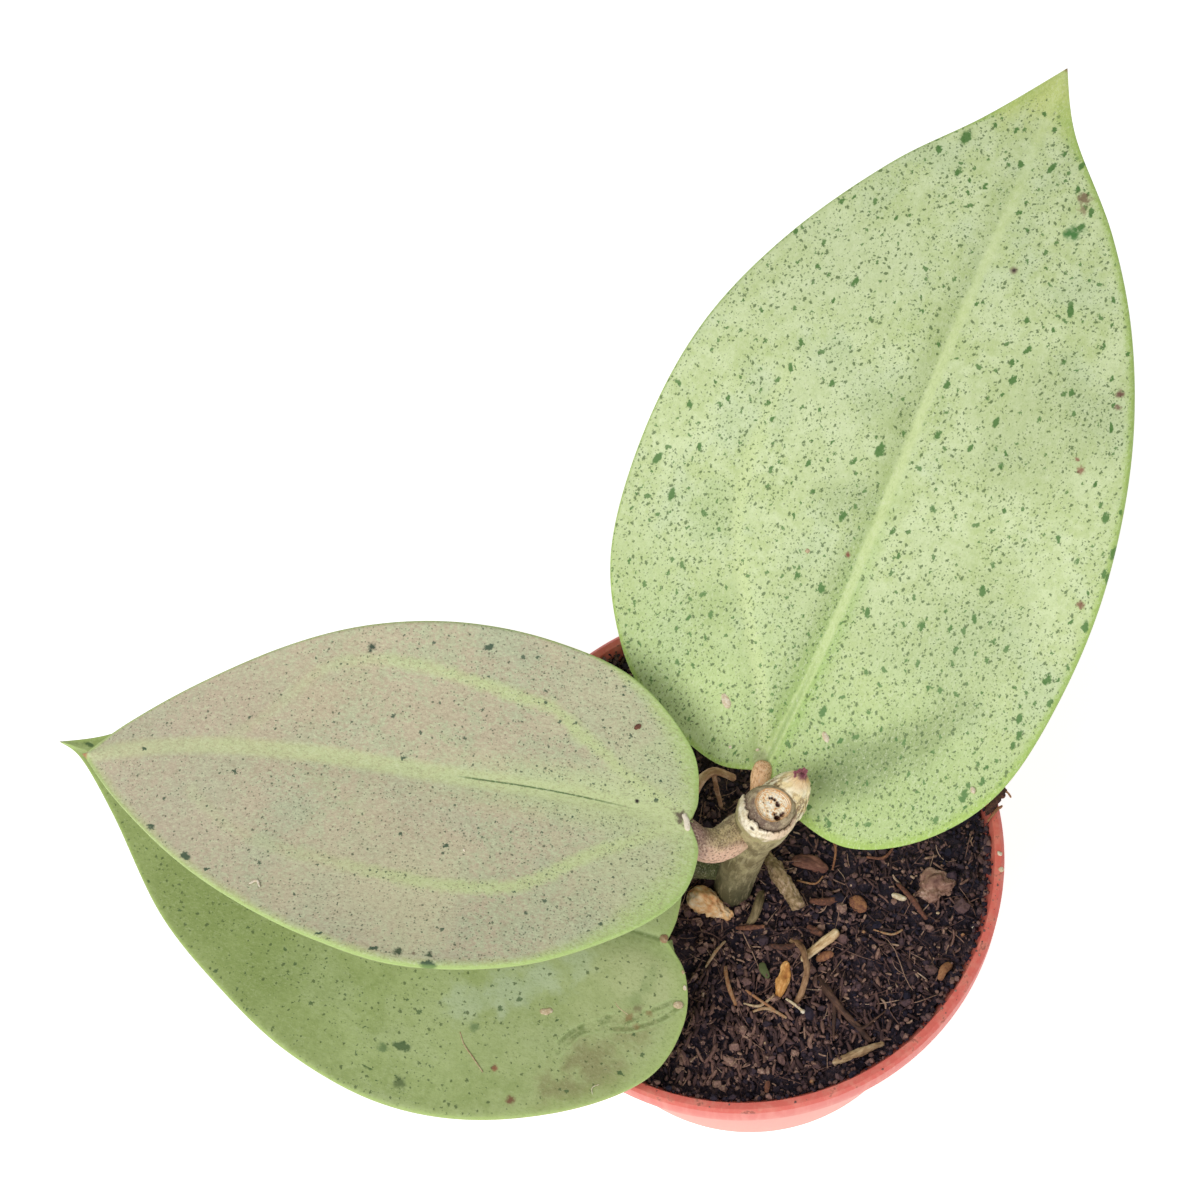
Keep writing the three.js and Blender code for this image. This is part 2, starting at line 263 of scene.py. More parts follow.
def shader_colour(colour):
    """Red, green and blue from 0 to 255, as the eye names them, made linear. A wire stays."""
    if isinstance(colour, Wire):
        return colour
    return tuple(linear(c / 255) for c in colour) + (1,)


class Finish:
    """A material whose nodes are added one by one."""

    def __init__(self, name):
        self.material = bpy.data.materials.new(name)
        self.material.use_nodes = True
        self.tree = self.material.node_tree
        self.tree.nodes.clear()

    def node(self, kind, settings=None, values=None):
        """Adds a node: its settings first, then the value or wire of each socket."""
        made = self.tree.nodes.new(kind)
        for key, value in (settings or {}).items():
            if key == "stops":
                self.set_stops(made.color_ramp, value)
            else:
                setattr(made, key, value)
        for key, value in (values or {}).items():
            if isinstance(key, int):
                socket = made.inputs[key]
            else:
                socket = next(s for s in made.inputs if s.name == key and s.enabled)
            if isinstance(value, Wire):
                self.tree.links.new(value.socket, socket)
            else:
                socket.default_value = value
        if made.outputs:
            return Wire(self, next(s for s in made.outputs if s.enabled))

    @staticmethod
    def set_stops(ramp, stops):
        while len(ramp.elements) < len(stops):
            ramp.elements.new(1)
        for element, (place, colour) in zip(ramp.elements, stops):
            element.position, element.color = place, shader_colour(colour)

    def attribute(self, name, output="Fac"):
        return self.node("ShaderNodeAttribute", {"attribute_name": name})[output]

    def place(self):
        return self.node("ShaderNodeTexCoord")["Object"]

    def noise(self, place, size, detail=2.0, roughness=0.5, distortion=0.0):
        """Cloudy noise whose blobs are about size metres across."""
        values = {"Vector": place, "Scale": 1 / size, "Detail": detail,
                  "Roughness": roughness, "Distortion": distortion}
        return self.node("ShaderNodeTexNoise", {}, values)

    def ease(self, value, low, high, start=0.0, end=1.0):
        """Start below low, end above high, and a smooth slope between them."""
        values = {"Value": value, "From Min": low, "From Max": high,
                  "To Min": start, "To Max": end}
        return self.node("ShaderNodeMapRange", {"interpolation_type": "SMOOTHSTEP"}, values)

    def mix(self, share, below, above):
        values = {"Factor": share, "A": shader_colour(below), "B": shader_colour(above)}
        return self.node("ShaderNodeMix", {"data_type": "RGBA"}, values)

    def over(self, colour, *layers):
        """Colours laid one over another: each layer is how far it shows, and its colour."""
        for share, above in layers:
            colour = self.mix(share, colour, above)
        return colour

    def ramp(self, value, stops):
        """A colour that runs through the stops as the value goes from 0 to 1."""
        return self.node("ShaderNodeValToRGB", {"stops": stops}, {"Fac": value})

    def parts(self, vector):
        """A vector taken apart: its X, Y and Z are outputs of this wire."""
        return self.node("ShaderNodeSeparateXYZ", {}, {"Vector": vector})

    def vector(self, operation, *values, **named):
        """Vector Math, on the values of its sockets in their order."""
        settings = {"operation": operation}
        return self.node("ShaderNodeVectorMath", settings, {**dict(enumerate(values)), **named})

    def shift(self, place, by, amount):
        """A place moved about by a noise colour, at most by half of amount."""
        centred = self.vector("SUBTRACT", by, (0.5, 0.5, 0.5))
        return self.vector("ADD", place, self.vector("SCALE", centred, Scale=amount))

    def stretch(self, place, by):
        return self.vector("MULTIPLY", place, by)

    def distance(self, place, spot):
        return self.vector("DISTANCE", place, spot)["Value"]

    def bump(self, height, depth, strength):
        values = {"Height": height, "Distance": depth, "Strength": strength}
        return self.node("ShaderNodeBump", {}, values)

    def coat(self, colour, roughness, bumped=None, shine=0.5, **others):
        """The shader and the output, which close a finish."""
        values = {"Base Color": colour, "Roughness": roughness, "Specular IOR Level": shine}
        values |= {key.replace("_", " "): value for key, value in others.items()}
        if bumped is not None:
            values["Normal"] = bumped
        shader = self.node("ShaderNodeBsdfPrincipled", {}, values)
        self.node("ShaderNodeOutputMaterial", {}, {"Surface": shader})
        return self.material


print("a leaf green in shader colours:", [round(c, 3) for c in shader_colour((150, 172, 108))])

# %% [markdown]
# ## Floor and light
#
# The plant stands on a plain white table in soft studio light: a wide lamp from the left, a
# weaker one from the front, and a white room that fills the shadows. The table glows a
# little, as a light table does, so that the shadows round the pot stay faint.


# %% Floor and light
FLOOR_SIZE, FLOOR_DROP = 6, 0.05 * MM  # the drop keeps table and pot from flickering
AIM = Vector((0, 0, 70)) * MM


def add_floor():
    floor = new_piece("floor", bpy.ops.mesh.primitive_plane_add, size=FLOOR_SIZE)
    set_points(floor, points_of(floor) - (0, 0, FLOOR_DROP))
    paint = Finish("white_table")
    floor.data.materials.append(
        paint.coat((0.86, 0.86, 0.86, 1), 0.9, Emission_Color=(1, 1, 1, 1), Emission_Strength=0.6)
    )


def add_lamp(name, place, size, power, colour=(1, 1, 1)):
    data = bpy.data.lights.new(name, "AREA")
    data.shape, data.size, data.energy, data.color = "DISK", size, power, colour
    lamp = bpy.data.objects.new(name, data)
    lamp.location = place
    lamp.rotation_euler = (AIM - Vector(place)).to_track_quat("-Z", "Y").to_euler()
    bpy.context.scene.collection.objects.link(lamp)


def light_room(strength):
    world = bpy.data.worlds.new("white_room")
    world.use_nodes = True
    background = world.node_tree.nodes["Background"]
    background.inputs["Color"].default_value = (1, 1, 1, 1)
    background.inputs["Strength"].default_value = strength
    bpy.context.scene.world = world


add_floor()
add_lamp("left_lamp", (-0.64, -0.4, 0.96), 0.8, 7.4, (1, 0.985, 0.96))
add_lamp("front_lamp", (0.1, -0.95, 0.6), 0.8, 2.2)
light_room(0.42)
bpy.context.scene.view_settings.view_transform = "Standard"

# %% [markdown]
# ## The shape of a leaf
#
# A hoya leaf is thick and waxy, and curved in both directions: it arches from its base to its
# tip, its halves lift beside the midrib, and its margin waves a little. Its outline can't be
# had by pushing a plane about, so each leaf is a fine grid whose rows become rungs. A rung
# runs from the midrib out to both margins. Lengths here are millimetres in the leaf's own
# frame, with x from the base notch to the tip, y to the left and z up.

# %% The three leaves
LEAVES = {
    "right": dict(
        base=(4.2, 4.4, 80), tip=(61.2, 84, 100), tilt=0, arch=7, cup=3, cup_at=30,
        wave=(0.7, 2.3, 0.6), dip=(6, -14, 1, 9), groove=(-3, 26, 0.3), valley=0.75,
        vein_rise=-0.26,
        midrib=[(0, 0), (20, -1.6), (40, -1.7), (60, -1.2), (80, -1), (100, 0)],
        left=[(0, 0), (-1.5, 6), (1.3, 14.8), (6.6, 22), (17.6, 28.2), (32.6, 30.2),
              (48.8, 28.6), (64.5, 23.4), (78.4, 15.6), (89, 7.3), (100, 0)],
        right=[(0, 0), (-3.8, -6.3), (-4.7, -14.4), (0.2, -23), (9, -29.2), (22.3, -31.5),
               (37, -31.3), (52.7, -28.1), (67.5, -22.2), (80, -14.4), (91.2, -4.8), (100, 0)],
    ),
    "left": dict(
        base=(-6.5, -2.5, 86), tip=(-81.5, 24, 79), tilt=0, arch=6, cup=3.5, cup_at=23,
        wave=(0.5, 1.7, 2.4), dip=(30, 10, 0.6, 12), groove=(3, 30, 0.1), valley=0.15,
        vein_rise=0.05,
        midrib=[(0, 0), (16, -0.9), (32, -1.1), (48, -1.8), (64, -1.7), (80, 0)],
        left=[(0, 0), (-1.7, 3.9), (-0.2, 10.3), (6.5, 16.6), (17.1, 22.1), (30.5, 24.4),
              (42, 22.5), (53.4, 18.5), (64, 13), (74, 5.8), (80, 0)],
        right=[(0, 0), (-0.7, -3.4), (1.1, -9.8), (8.8, -16.8), (19.5, -19.9), (31.1, -20.5),
               (43.5, -18.8), (54.3, -15.4), (65.5, -10), (74.5, -4.5), (80, 0)],
    ),
    "low": dict(
        base=(-12, -12, 67), tip=(-87, 30.5, 68.5), tilt=-6, arch=5, cup=2, cup_at=30,
        wave=(0.7, 2, 1.1), dip=(17, 9, 0.8, 8), groove=(-3, 34, 0.25), valley=0.3,
        vein_rise=0.05,
        midrib=[(0, 0), (17, 0.8), (34, 1.2), (51, 1), (68, 0.5), (86, 0)],
        left=[(0, 0), (-3.6, 3.3), (-5.4, 9.5), (-3.4, 17.3), (4.4, 24.4), (16, 29.8),
              (28, 31.5), (40.5, 29.3), (52, 24.4), (63.5, 17.7), (74.5, 7.5), (82, 1.4),
              (86, 0)],
        right=[(0, 0), (-0.3, -3.5), (0.8, -9), (5, -17), (14, -24), (26, -27.5), (38, -27),
               (50, -23), (61, -16.5), (71, -9), (79.5, -2.9), (86, 0)],
    ),
}
# Side veins, drawn from the base outwards. The last number says how plainly one shows.
VEINS = {
    "right": [
        ([(1, 0.4), (7.6, 2.9), (13.7, 6.8), (18.6, 9.9), (23.2, 12.8), (27.3, 14.8),
          (32.1, 16), (40, 16.6), (48, 16)], 1),
        ([(2, -1), (8, -6.5), (14.7, -18.2), (26, -21), (39.9, -21.6), (52, -18)], 0.4),
        ([(36, -1.7), (44, -7), (52, -10.5), (62, -12)], 0.35),
        ([(46, -1.6), (54, 4), (62, 8), (71, 9.5)], 0.35),
        ([(62, -1.2), (69, -5.5), (77, -7.5)], 0.3),
    ],
    "left": [
        ([(1, -0.4), (4, -2.4), (8.6, -4.7), (11.8, -7.1), (14.9, -8.9), (18.1, -11.3),
          (22.5, -12), (28.5, -13.2), (36.2, -14.4), (42, -14.4), (47.6, -13.2),
          (51.1, -10.1), (55.5, -5.6), (60, -2.4)], 0.9),
        ([(1, 0.5), (3.4, 1.8), (6, 3.7), (11, 6.5), (16, 10.2), (19.9, 12.2), (26.7, 13.2),
          (36.1, 12.8), (42.6, 11.9), (49.4, 11.1), (56.7, 8.8), (63, 4.5)], 0.95),
        ([(61, -2), (53.9, -1.4), (49.2, 0.4), (43.4, 2.8), (38, 7)], 0.4),
        ([(24, -1.2), (30, -5), (38, -8.6), (44, -13)], 0.3),
    ],
    "low": [
        ([(1, 0.8), (8, 6), (16, 13), (26, 18), (38, 19), (50, 15.5)], 0.35),
        ([(1, -0.6), (8, -6), (16, -12), (28, -16), (42, -15)], 0.5),
        ([(30, 1.2), (40, 7), (50, 9.5), (60, 8.5)], 0.3),
    ],
}
# Creases where the low leaf was once folded.
CREASES = {
    "right": [],
    "left": [],
    "low": [
        [(4.3, 11.8), (2.7, 11.4), (1.5, 11.5), (0.3, 10.5), (-1.2, 9), (-3.6, 6.9)],
        [(8.4, 18.4), (7.1, 15.7), (6, 14.4), (4.1, 13.3), (2.3, 12.8), (0.9, 12.3)],
        [(8.6, 17), (7.5, 15), (5.8, 13.4), (3.7, 12.2), (1.9, 11.5)],
        [(0.8, 12.3), (-1.1, 11), (-2.9, 9.4), (-4.2, 7.5)],
    ],
}
print("leaf lengths, mm:", {k: round((Vector(v["tip"]) - Vector(v["base"])).length, 1)
                            for k, v in LEAVES.items()})

# %% [markdown]
# A smooth line through a few chosen points is all that an outline or a midrib needs. Height
# comes from a formula: an arch along the leaf, a cup across it, a ripple that grows towards
# the margin, and one shallow dip.


# %% Smooth lines and the height of a blade
def smooth_line(points, shares):
    """Places on a smooth line through the points, at shares from 0 to 1 of its course."""
    points = np.asarray(points, float)
    last = len(points) - 1
    course = np.clip(np.asarray(shares, float) * last, 0, last)
    low = np.minimum(course.astype(int), last - 1)
    t = (course - low)[..., None]
    before, start = points[np.maximum(low - 1, 0)], points[low]
    end, after = points[low + 1], points[np.minimum(low + 2, last)]
    leave, arrive = (end - before) / 2, (after - start) / 2
    cubic = 2 * start - 2 * end + leave + arrive
    square = -3 * start + 3 * end - 2 * leave - arrive
    return ((cubic * t + square) * t + leave) * t + start


def leaf_turn(leaf):
    """The leaf's length, and the matrix from its own frame in mm to the pot's in metres."""
    base, tip = Vector(leaf["base"]), Vector(leaf["tip"])
    forward = (tip - base).normalized()
    up = Vector((0, 0, 1))
    up = (up - forward * up.dot(forward)).normalized()
    up = Matrix.Rotation(math.radians(leaf["tilt"]), 3, forward) @ up
    turn = Matrix((forward, up.cross(forward), up)).transposed().to_4x4()
    return (tip - base).length, Matrix.Scale(MM, 4) @ Matrix.Translation(base) @ turn


def blade_height(leaf, x, y):
    length, _ = leaf_turn(leaf)
    share, across = x / length, y / leaf["cup_at"]
    height, turns, start = leaf["wave"]
    dip_x, dip_y, depth, reach = leaf["dip"]
    ripple = np.sin(2 * np.pi * turns * share + start)
    dip = np.exp(-((x - dip_x) ** 2 + (y - dip_y) ** 2) / reach ** 2)
    return (4 * leaf["arch"] * share * (1 - share) + (leaf["cup"] + height * ripple) * across ** 2
            - depth * dip)


def move(matrix, places):
    matrix = np.array(matrix)
    return places @ matrix[:3, :3].T + matrix[:3, 3]


print("right blade stands this high in its middle, mm:",
      round(float(blade_height(LEAVES["right"], 50, 0)), 2))

# %% [markdown]
# The blade is 1.8 mm thick at the midrib and 1 mm at the margin. Solidify gives the sheet
# that body and one level of subdivision rounds its margin, as a fleshy leaf's is. The midrib
# is a groove on top near the base and a ridge beneath.

# %% Building a blade
ROWS, COLUMNS = 120, 64
COLUMN_CROWDING = 0.9  # below 1, the columns crowd towards the margin
MERGE = 1e-6
MID_THICKNESS, EDGE_THICKNESS = 1.8, 1.0
GROOVE_WIDTH, GROOVE_END, VALLEY_WIDTH, VEIN_WIDTH = 0.6, 0.8, 2.4, 1.1
RIDGE_DEPTH, RIDGE_WIDTH = 1, 1.3
CREASE_DEPTH, CREASE_WIDTH = 0.1, 0.4
TURN_OVER = 0.3  # over this height the margin turns from the top to the underside
SIDES_APART = 20  # so far apart the two sides read their noise


def nearest(lines, x, y):
    """Distance in mm from each place to the nearest of some polylines."""
    found = np.full(len(x), 1e9)
    place = np.stack([x, y], -1)
    for line in lines:
        for start, end in zip(line[:-1], line[1:]):
            way = end - start
            share = np.clip((place - start) @ way / max(way @ way, 1e-9), 0, 1)
            gap = place - start - share[:, None] * way
            found = np.minimum(found, np.hypot(gap[:, 0], gap[:, 1]))
    return found


def lay_rungs(leaf, reach, share):
    """Flat places on the leaf: reach runs from -1, the right margin, to 1, the left one."""
    spine = smooth_line(leaf["midrib"], share ** 2)
    left, right = smooth_line(leaf["left"], share), smooth_line(leaf["right"], share)
    edge = np.where(reach[:, None] > 0, left, right)
    return spine + (edge - spine) * np.abs(reach)[:, None]


def vein_lines(key):
    shares = np.linspace(0, 1, 24)
    return [(smooth_line(points, shares), force) for points, force in VEINS[key]]


def build_blade(key):
    leaf = LEAVES[key]
    length, turn = leaf_turn(leaf)
    blade = new_grid(key + "_leaf_blade", COLUMNS, ROWS)
    grid = points_of(blade)
    reach, share = grid[:, 0], (grid[:, 1] + 1) / 2
    reach = np.sign(reach) * np.abs(reach) ** COLUMN_CROWDING
    flat = lay_rungs(leaf, reach, share)
    set_points(blade, np.column_stack([flat * MM, blade_height(leaf, *flat.T) * MM]))
    body = blade.vertex_groups.new(name="body")
    for i, far in enumerate(np.abs(reach)):
        body.add([i], 1 - far ** 2, "REPLACE")
    in_edit(blade, lambda: bpy.ops.mesh.remove_doubles(threshold=MERGE),
            face_out)
    if blade.data.polygons[len(blade.data.polygons) // 2].normal.z < 0:
        in_edit(blade, lambda: bpy.ops.mesh.flip_normals())
    modify(blade, "SOLIDIFY", thickness=MID_THICKNESS * MM, offset=0.0, vertex_group="body",
           thickness_vertex_group=EDGE_THICKNESS / MID_THICKNESS)
    modify(blade, "SUBSURF", levels=1, render_levels=1)
    return blade, leaf, length, turn


def shape_blade(key):
    """Veins and midrib in relief, and the attributes that the leaf's finish reads."""
    blade, leaf, length, turn = build_blade(key)
    places = points_of(blade) / MM
    x, y = places[:, 0], places[:, 1]
    upper = np.clip((places[:, 2] - blade_height(leaf, x, y)) / TURN_OVER, -1, 1) * 0.5 + 0.5
    shares = np.linspace(0, 1, 90)
    edges = [smooth_line(leaf[side], shares) for side in ("left", "right")]
    margin = nearest(edges, x, y)
    rib = nearest([smooth_line(leaf["midrib"], shares)], x, y)
    shows = np.max([force * np.exp(-(nearest([line], x, y) / VEIN_WIDTH) ** 2)
                    for line, force in vein_lines(key)], axis=0)
    folds = [smooth_line(line, shares[::4]) for line in CREASES[key]]
    creased = np.exp(-(nearest(folds, x, y) / CREASE_WIDTH) ** 2)
    start, end, sink = leaf["groove"]
    along_groove = np.clip((x - start) / 3, 0, 1) * np.clip((end - x) / (0.6 * end), 0, 1)
    groove = sink * along_groove * np.exp(-(rib / GROOVE_WIDTH) ** 2) * (margin > GROOVE_END)
    ridge = RIDGE_DEPTH * (1 - x / length) * np.exp(-(rib / RIDGE_WIDTH) ** 2)
    valley = leaf["valley"] * np.exp(-(rib / VALLEY_WIDTH) ** 2) * np.clip(margin / 3, 0, 1)
    valley *= np.clip((length - x) / (0.5 * length), 0, 1)
    relief = leaf["vein_rise"] * shows - groove - valley - CREASE_DEPTH * creased
    places[:, 2] += upper * relief - (1 - upper) * ridge
    spine_y = np.interp(x, *smooth_line(leaf["midrib"], shares).T)
    set_points(blade, move(turn, places))
    write(blade, "flat", np.column_stack([x, y, SIDES_APART * upper]) * MM)
    for name, values in (("margin", margin * MM), ("rib", (y - spine_y) * MM),
                         ("vein", shows), ("crease", creased), ("upper", upper),
                         ("course", x / length)):
        write(blade, name, values)
    in_edit(blade, face_out)
    return blade


blades = {key: shape_blade(key) for key in LEAVES}
print("blades:", {key: len(blade.data.vertices) for key, blade in blades.items()})

# %% [markdown]
# ## The skin of a leaf
#
# The silver of these leaves is a thin layer of air under the skin. Where it is missing, the
# green below shows as flecks: fine specks all over, bigger islands near the margin and the
# midrib. The margin has no silver at all and is a clear yellow-green.
#
# Each size of fleck is a set of random cells. A cell holds a fleck only if its own random
# number says so, and warping the place first gives each fleck a ragged edge.


# %% Flecks and stains
ISLAND_ROUGHNESS, ISLAND_SWAY, ISLAND_LENGTH = 0.6 * MM, 1.5 * MM, 0.62


def flecks(paint, flat, cell, size, share, longer, swing=2.4, ragged=0.95):
    """A mask of flecks about size metres across, one in some of the random cells. Each is
    an oval, drawn out and turned by its cell's random numbers."""
    rough = paint.noise(flat, size * 0.7, detail=2.0, roughness=0.6)["Color"]
    warped = paint.shift(flat, rough, 2 * size * ragged)
    cells = paint.node("ShaderNodeTexVoronoi", {"voronoi_dimensions": "2D"},
                       {"Vector": warped, "Scale": 1 / cell, "Randomness": 1.0})
    dice = paint.node("ShaderNodeSeparateColor", {}, {"Color": cells["Color"]})
    offset = paint.vector("SUBTRACT", warped, cells["Position"])
    turned = paint.node("ShaderNodeVectorRotate", {"rotation_type": "Z_AXIS"},
                        {"Vector": offset, "Angle": dice["Blue"].sway(swing)})
    gap = paint.vector("LENGTH", paint.stretch(turned, (1 / longer, 1, 0)))["Value"]
    radius = (dice["Green"] ** 3 * 0.8 + 0.55) * (size / 2)
    return paint.ease(gap / radius, 1.3, 0.75) * (dice["Red"] < share)


def stain(paint, flat, x, y, radius, ragged):
    """A soft round mark at a place on the leaf, in mm."""
    cloud = paint.noise(flat, radius * MM * 0.8, detail=3.0, roughness=0.6)["Color"]
    moved = paint.stretch(paint.shift(flat, cloud, 2 * radius * MM * ragged), (1, 1, 0))
    gap = paint.distance(moved, (x * MM, y * MM, 0))
    return paint.ease(gap, radius * MM, radius * MM * 0.25)


def lone_islands(paint, flat, places):
    """A mask of ovals at chosen places on the leaf, with ragged edges."""
    rough = paint.noise(flat, ISLAND_ROUGHNESS, detail=3.0, roughness=0.7)["Color"]
    moved = paint.stretch(paint.shift(flat, rough, ISLAND_SWAY), (ISLAND_LENGTH, 1, 0))
    mask = None
    for x, y, radius in places:
        gap = paint.distance(moved, (ISLAND_LENGTH * x * MM, y * MM, 0))
        oval = paint.ease(gap, radius * MM * 0.85, radius * MM * 0.5)
        mask = oval if mask is None else mask.at_least(oval)
    return mask


print("an island is", round(1 / ISLAND_LENGTH, 2), "times as long as it is wide")

# %% [markdown]
# Some marks and islands are so plain on a leaf that they have to stand in their own places:
# paler and darker fields, spots of rust, a bruise near the tip. They are listed here.

# %% Marks and islands
# Marks on each leaf: place and radius in mm, colour, strength and raggedness.
MARKS = {
    "right": [
        (64.7, 15.2, 13, (214, 228, 180), 0.5, 0.7), (45, 9.5, 11, (216, 230, 182), 0.45, 0.7),
        # Painted shadow of the bud: darker fields at (25.3, -16.6), (12, -16), (5.6, -12.2), (12.6,
        # -18), (16, -20.5), (2, -8.6), (9.4, -15.6).
        (25.3, -16.6, 14, (176, 194, 136), 0.45, 0.8), (23.4, 1.7, 9, (184, 202, 144), 0.35, 0.9),
        (12, -16, 8, (158, 178, 116), 0.4, 0.7), (5.6, -12.2, 6, (112, 132, 80), 0.6, 0.5),
        (52, -16.5, 13, (184, 200, 144), 0.5, 0.8), (12.6, -18, 3.6, (142, 160, 106), 0.45, 0.6),
        (16, -20.5, 3.6, (154, 172, 116), 0.4, 0.6), (2, -8.6, 4, (112, 132, 80), 0.5, 0.5),
        # (4, 9) is painted light: a paler field where the left leaf's shadow falls on this one.
        (9.4, -15.6, 5, (132, 152, 94), 0.4, 0.6), (4, 9, 8, (204, 224, 156), 0.65, 0.7),
        # Painted shade beside a side vein at (27.5, 18) and (16.5, 13.5), and beside the midrib at (35,
        # 3.2) and (48, 2.4).
        (27.5, 18, 5, (184, 206, 140), 0.65, 0.8), (16.5, 13.5, 4.5, (176, 198, 130), 0.6, 0.8),
        (35, 3.2, 5, (178, 196, 138), 0.6, 0.8), (48, 2.4, 5, (182, 200, 142), 0.5, 0.8),
        (83.1, -9.1, 1.2, (120, 84, 66), 0.8, 1.2), (81.6, -9.9, 1, (140, 108, 84), 0.65, 1.2),
        (60, -23.5, 0.75, (112, 62, 58), 0.9, 0.7), (58.2, -24, 0.6, (120, 74, 62), 0.8, 0.9),
        (49.1, -22.8, 0.75, (148, 88, 74), 0.85, 0.8), (50.2, -21.9, 0.45, (148, 88, 74), 0.8, 0.8),
        (33.5, -29.3, 0.7, (132, 70, 60), 0.85, 0.8), (28.8, 0.1, 0.5, (140, 70, 60), 0.9, 0.6),
        (70.6, -4.9, 0.75, (120, 100, 84), 0.8, 0.25), (70.6, -4.9, 0.34, (58, 38, 40), 0.9, 0.2),
        # (1.2, 0.8) is painted shade where the stalk joins the blade.
        (78.2, -9.8, 1.7, (84, 136, 72), 1, 1.1), (1.2, 0.8, 1.3, (132, 134, 104), 0.5, 0.5),
    ],
    "left": [
        # (31.7, 14.9) is painted light: a paler field on the front of the blade, which turns away from
        # the lamps.
        (31.7, 14.9, 11, (212, 207, 170), 0.75, 0.8), (13.9, -12.6, 7, (202, 200, 166), 0.4, 0.9),
        (8.4, -4, 6, (204, 212, 168), 0.55, 0.9), (6.2, 6, 7, (196, 206, 158), 0.45, 0.9),
        (3, -8, 6, (196, 214, 158), 0.5, 0.8), (1.8, 10.4, 5, (194, 214, 152), 0.5, 0.8),
        (34, 5, 9, (196, 176, 152), 0.35, 0.8), (56, -6, 9, (200, 180, 156), 0.4, 0.8),
        (47, -12, 8, (198, 182, 152), 0.35, 0.9), (62, 4, 7, (186, 194, 160), 0.35, 0.9),
        (40, 13, 13, (208, 200, 168), 0.5, 0.8), (58, 9, 8, (206, 196, 168), 0.4, 0.8),
        (0.9, -0.5, 1.3, (82, 52, 56), 0.85, 1.4), (6.4, -1.4, 0.42, (40, 32, 30), 1, 0.4),
        (42.2, -15.9, 0.75, (40, 66, 50), 0.95, 0.9), (31.1, 22.7, 0.7, (44, 70, 44), 0.9, 1),
        (27.4, 22.5, 0.6, (44, 70, 44), 0.9, 1), (29.2, 22.6, 0.4, (96, 66, 52), 0.7, 1),
    ],
    "low": [
        (14.9, 18, 8, (172, 186, 130), 0.4, 0.9), (2.2, 5.4, 6, (190, 198, 146), 0.65, 0.9),
        (59.7, 14.5, 10, (126, 144, 82), 0.5, 0.8), (48, 20, 12, (130, 150, 84), 0.45, 0.8),
        (24, 19, 10, (176, 190, 132), 0.5, 0.9), (21.5, 15.8, 4, (194, 208, 176), 0.55, 1.1),
        (17, 12.6, 4, (196, 210, 180), 0.6, 1.1), (13, 9.6, 4, (196, 210, 180), 0.6, 1.1),
        (9.6, 6.2, 3.6, (192, 206, 172), 0.5, 1.1), (0.8, 13, 4, (148, 138, 96), 0.5, 1.2),
        (3.4, 18, 5.2, (136, 124, 86), 0.65, 1), (6.4, 23, 4.4, (132, 120, 80), 0.6, 1.2),
        (0.4, 4.6, 1.5, (132, 154, 94), 0.4, 0.8), (0.5, 6.6, 1.5, (128, 150, 90), 0.45, 0.8),
        (1.4, 8.6, 1.6, (128, 150, 90), 0.45, 0.8), (1.3, 10.9, 0.7, (142, 112, 70), 0.7, 0.9),
        (0.1, 11.7, 0.6, (142, 112, 70), 0.6, 0.9), (-0.9, 9.5, 0.6, (142, 112, 70), 0.6, 0.9),
        (4, 27, 4, (168, 182, 108), 0.5, 0.9), (12, 25.8, 0.85, (122, 78, 58), 0.9, 0.7),
        (15.2, 22.6, 0.6, (150, 96, 72), 0.9, 0.6), (26, 28.3, 1.2, (76, 96, 54), 0.8, 0.8),
        (29.4, 24.8, 0.9, (80, 112, 66), 0.7, 0.8), (19.4, 18.5, 0.9, (84, 116, 72), 0.6, 0.8),
        (0.6, 9.4, 0.8, (112, 96, 66), 0.6, 0.9),
    ],
}
# Single islands that stand out on a leaf: place and radius in mm.
ISLANDS = {
    "right": [
        (85.5, 8, 1), (82.5, 10.5, 0.6), (80.5, 7, 0.6), (80, 3, 0.5), (84.5, 0, 0.5), (88, -4.5, 0.5),
        (91, -2, 0.4), (92.5, 0, 0.4), (84, -8, 0.5), (71, 19, 0.4), (71.5, -18, 0.4), (65, -9, 0.5),
        (42.5, 1.5, 0.8), (47, -4.5, 0.6), (53.5, -3, 0.55), (57, -10.5, 0.6), (59, -9.5, 0.45),
        (47, -9, 0.45), (40, 4, 0.45), (33, 2.5, 0.55), (33.5, -4, 0.5), (24, 5, 0.45), (23.5, 1.5, 0.5),
        (23, -5, 0.6), (24, -12, 0.6), (25, -15.5, 0.45), (48, 10.5, 0.5), (38.5, 26, 0.45),
        (9.5, -4.5, 0.6), (23.5, -29, 0.65), (16, -28.5, 0.6), (44.5, -28, 0.6), (40, -23.5, 0.5),
        (6.5, -25, 0.75), (9, -26.5, 0.5), (-3, -10.5, 0.5), (38, -30.5, 0.5),
    ],
    "left": [(67.5, 9.5, 0.55), (57.5, 1.5, 0.4), (71, -1, 0.4), (28.5, 8, 0.3), (36, -2.5, 0.35)],
    "low": [],
}
print("marks:", {key: len(marks) for key, marks in MARKS.items()})
print("islands:", {key: len(places) for key, places in ISLANDS.items()})


# %% [markdown]
# The skin is laid on in layers, as a painter would: the silver first, then the broad marks,
# the green margin, the ribs and creases, the grain, the flecks, and last the small spots.
# All layers read the same measures of a place, such as its distance from the margin, and the
# same four sizes of noise, so their edges belong together.

# %% What a leaf's finish knows of a place
# Size in mm, detail and roughness of each noise.
LEAF_NOISE = {"patchy": (7.5, 3, 0.55), "cloudy": (3.6, 4, 0.6), "mealy": (1, 3, 0.7),
              "grain": (0.28, 2, 0.8)}
GRAIN_STRETCH = (0.6, 1, 1)
HALFWAY = -3 * MM, 3 * MM  # from the right half of a leaf over to the left half


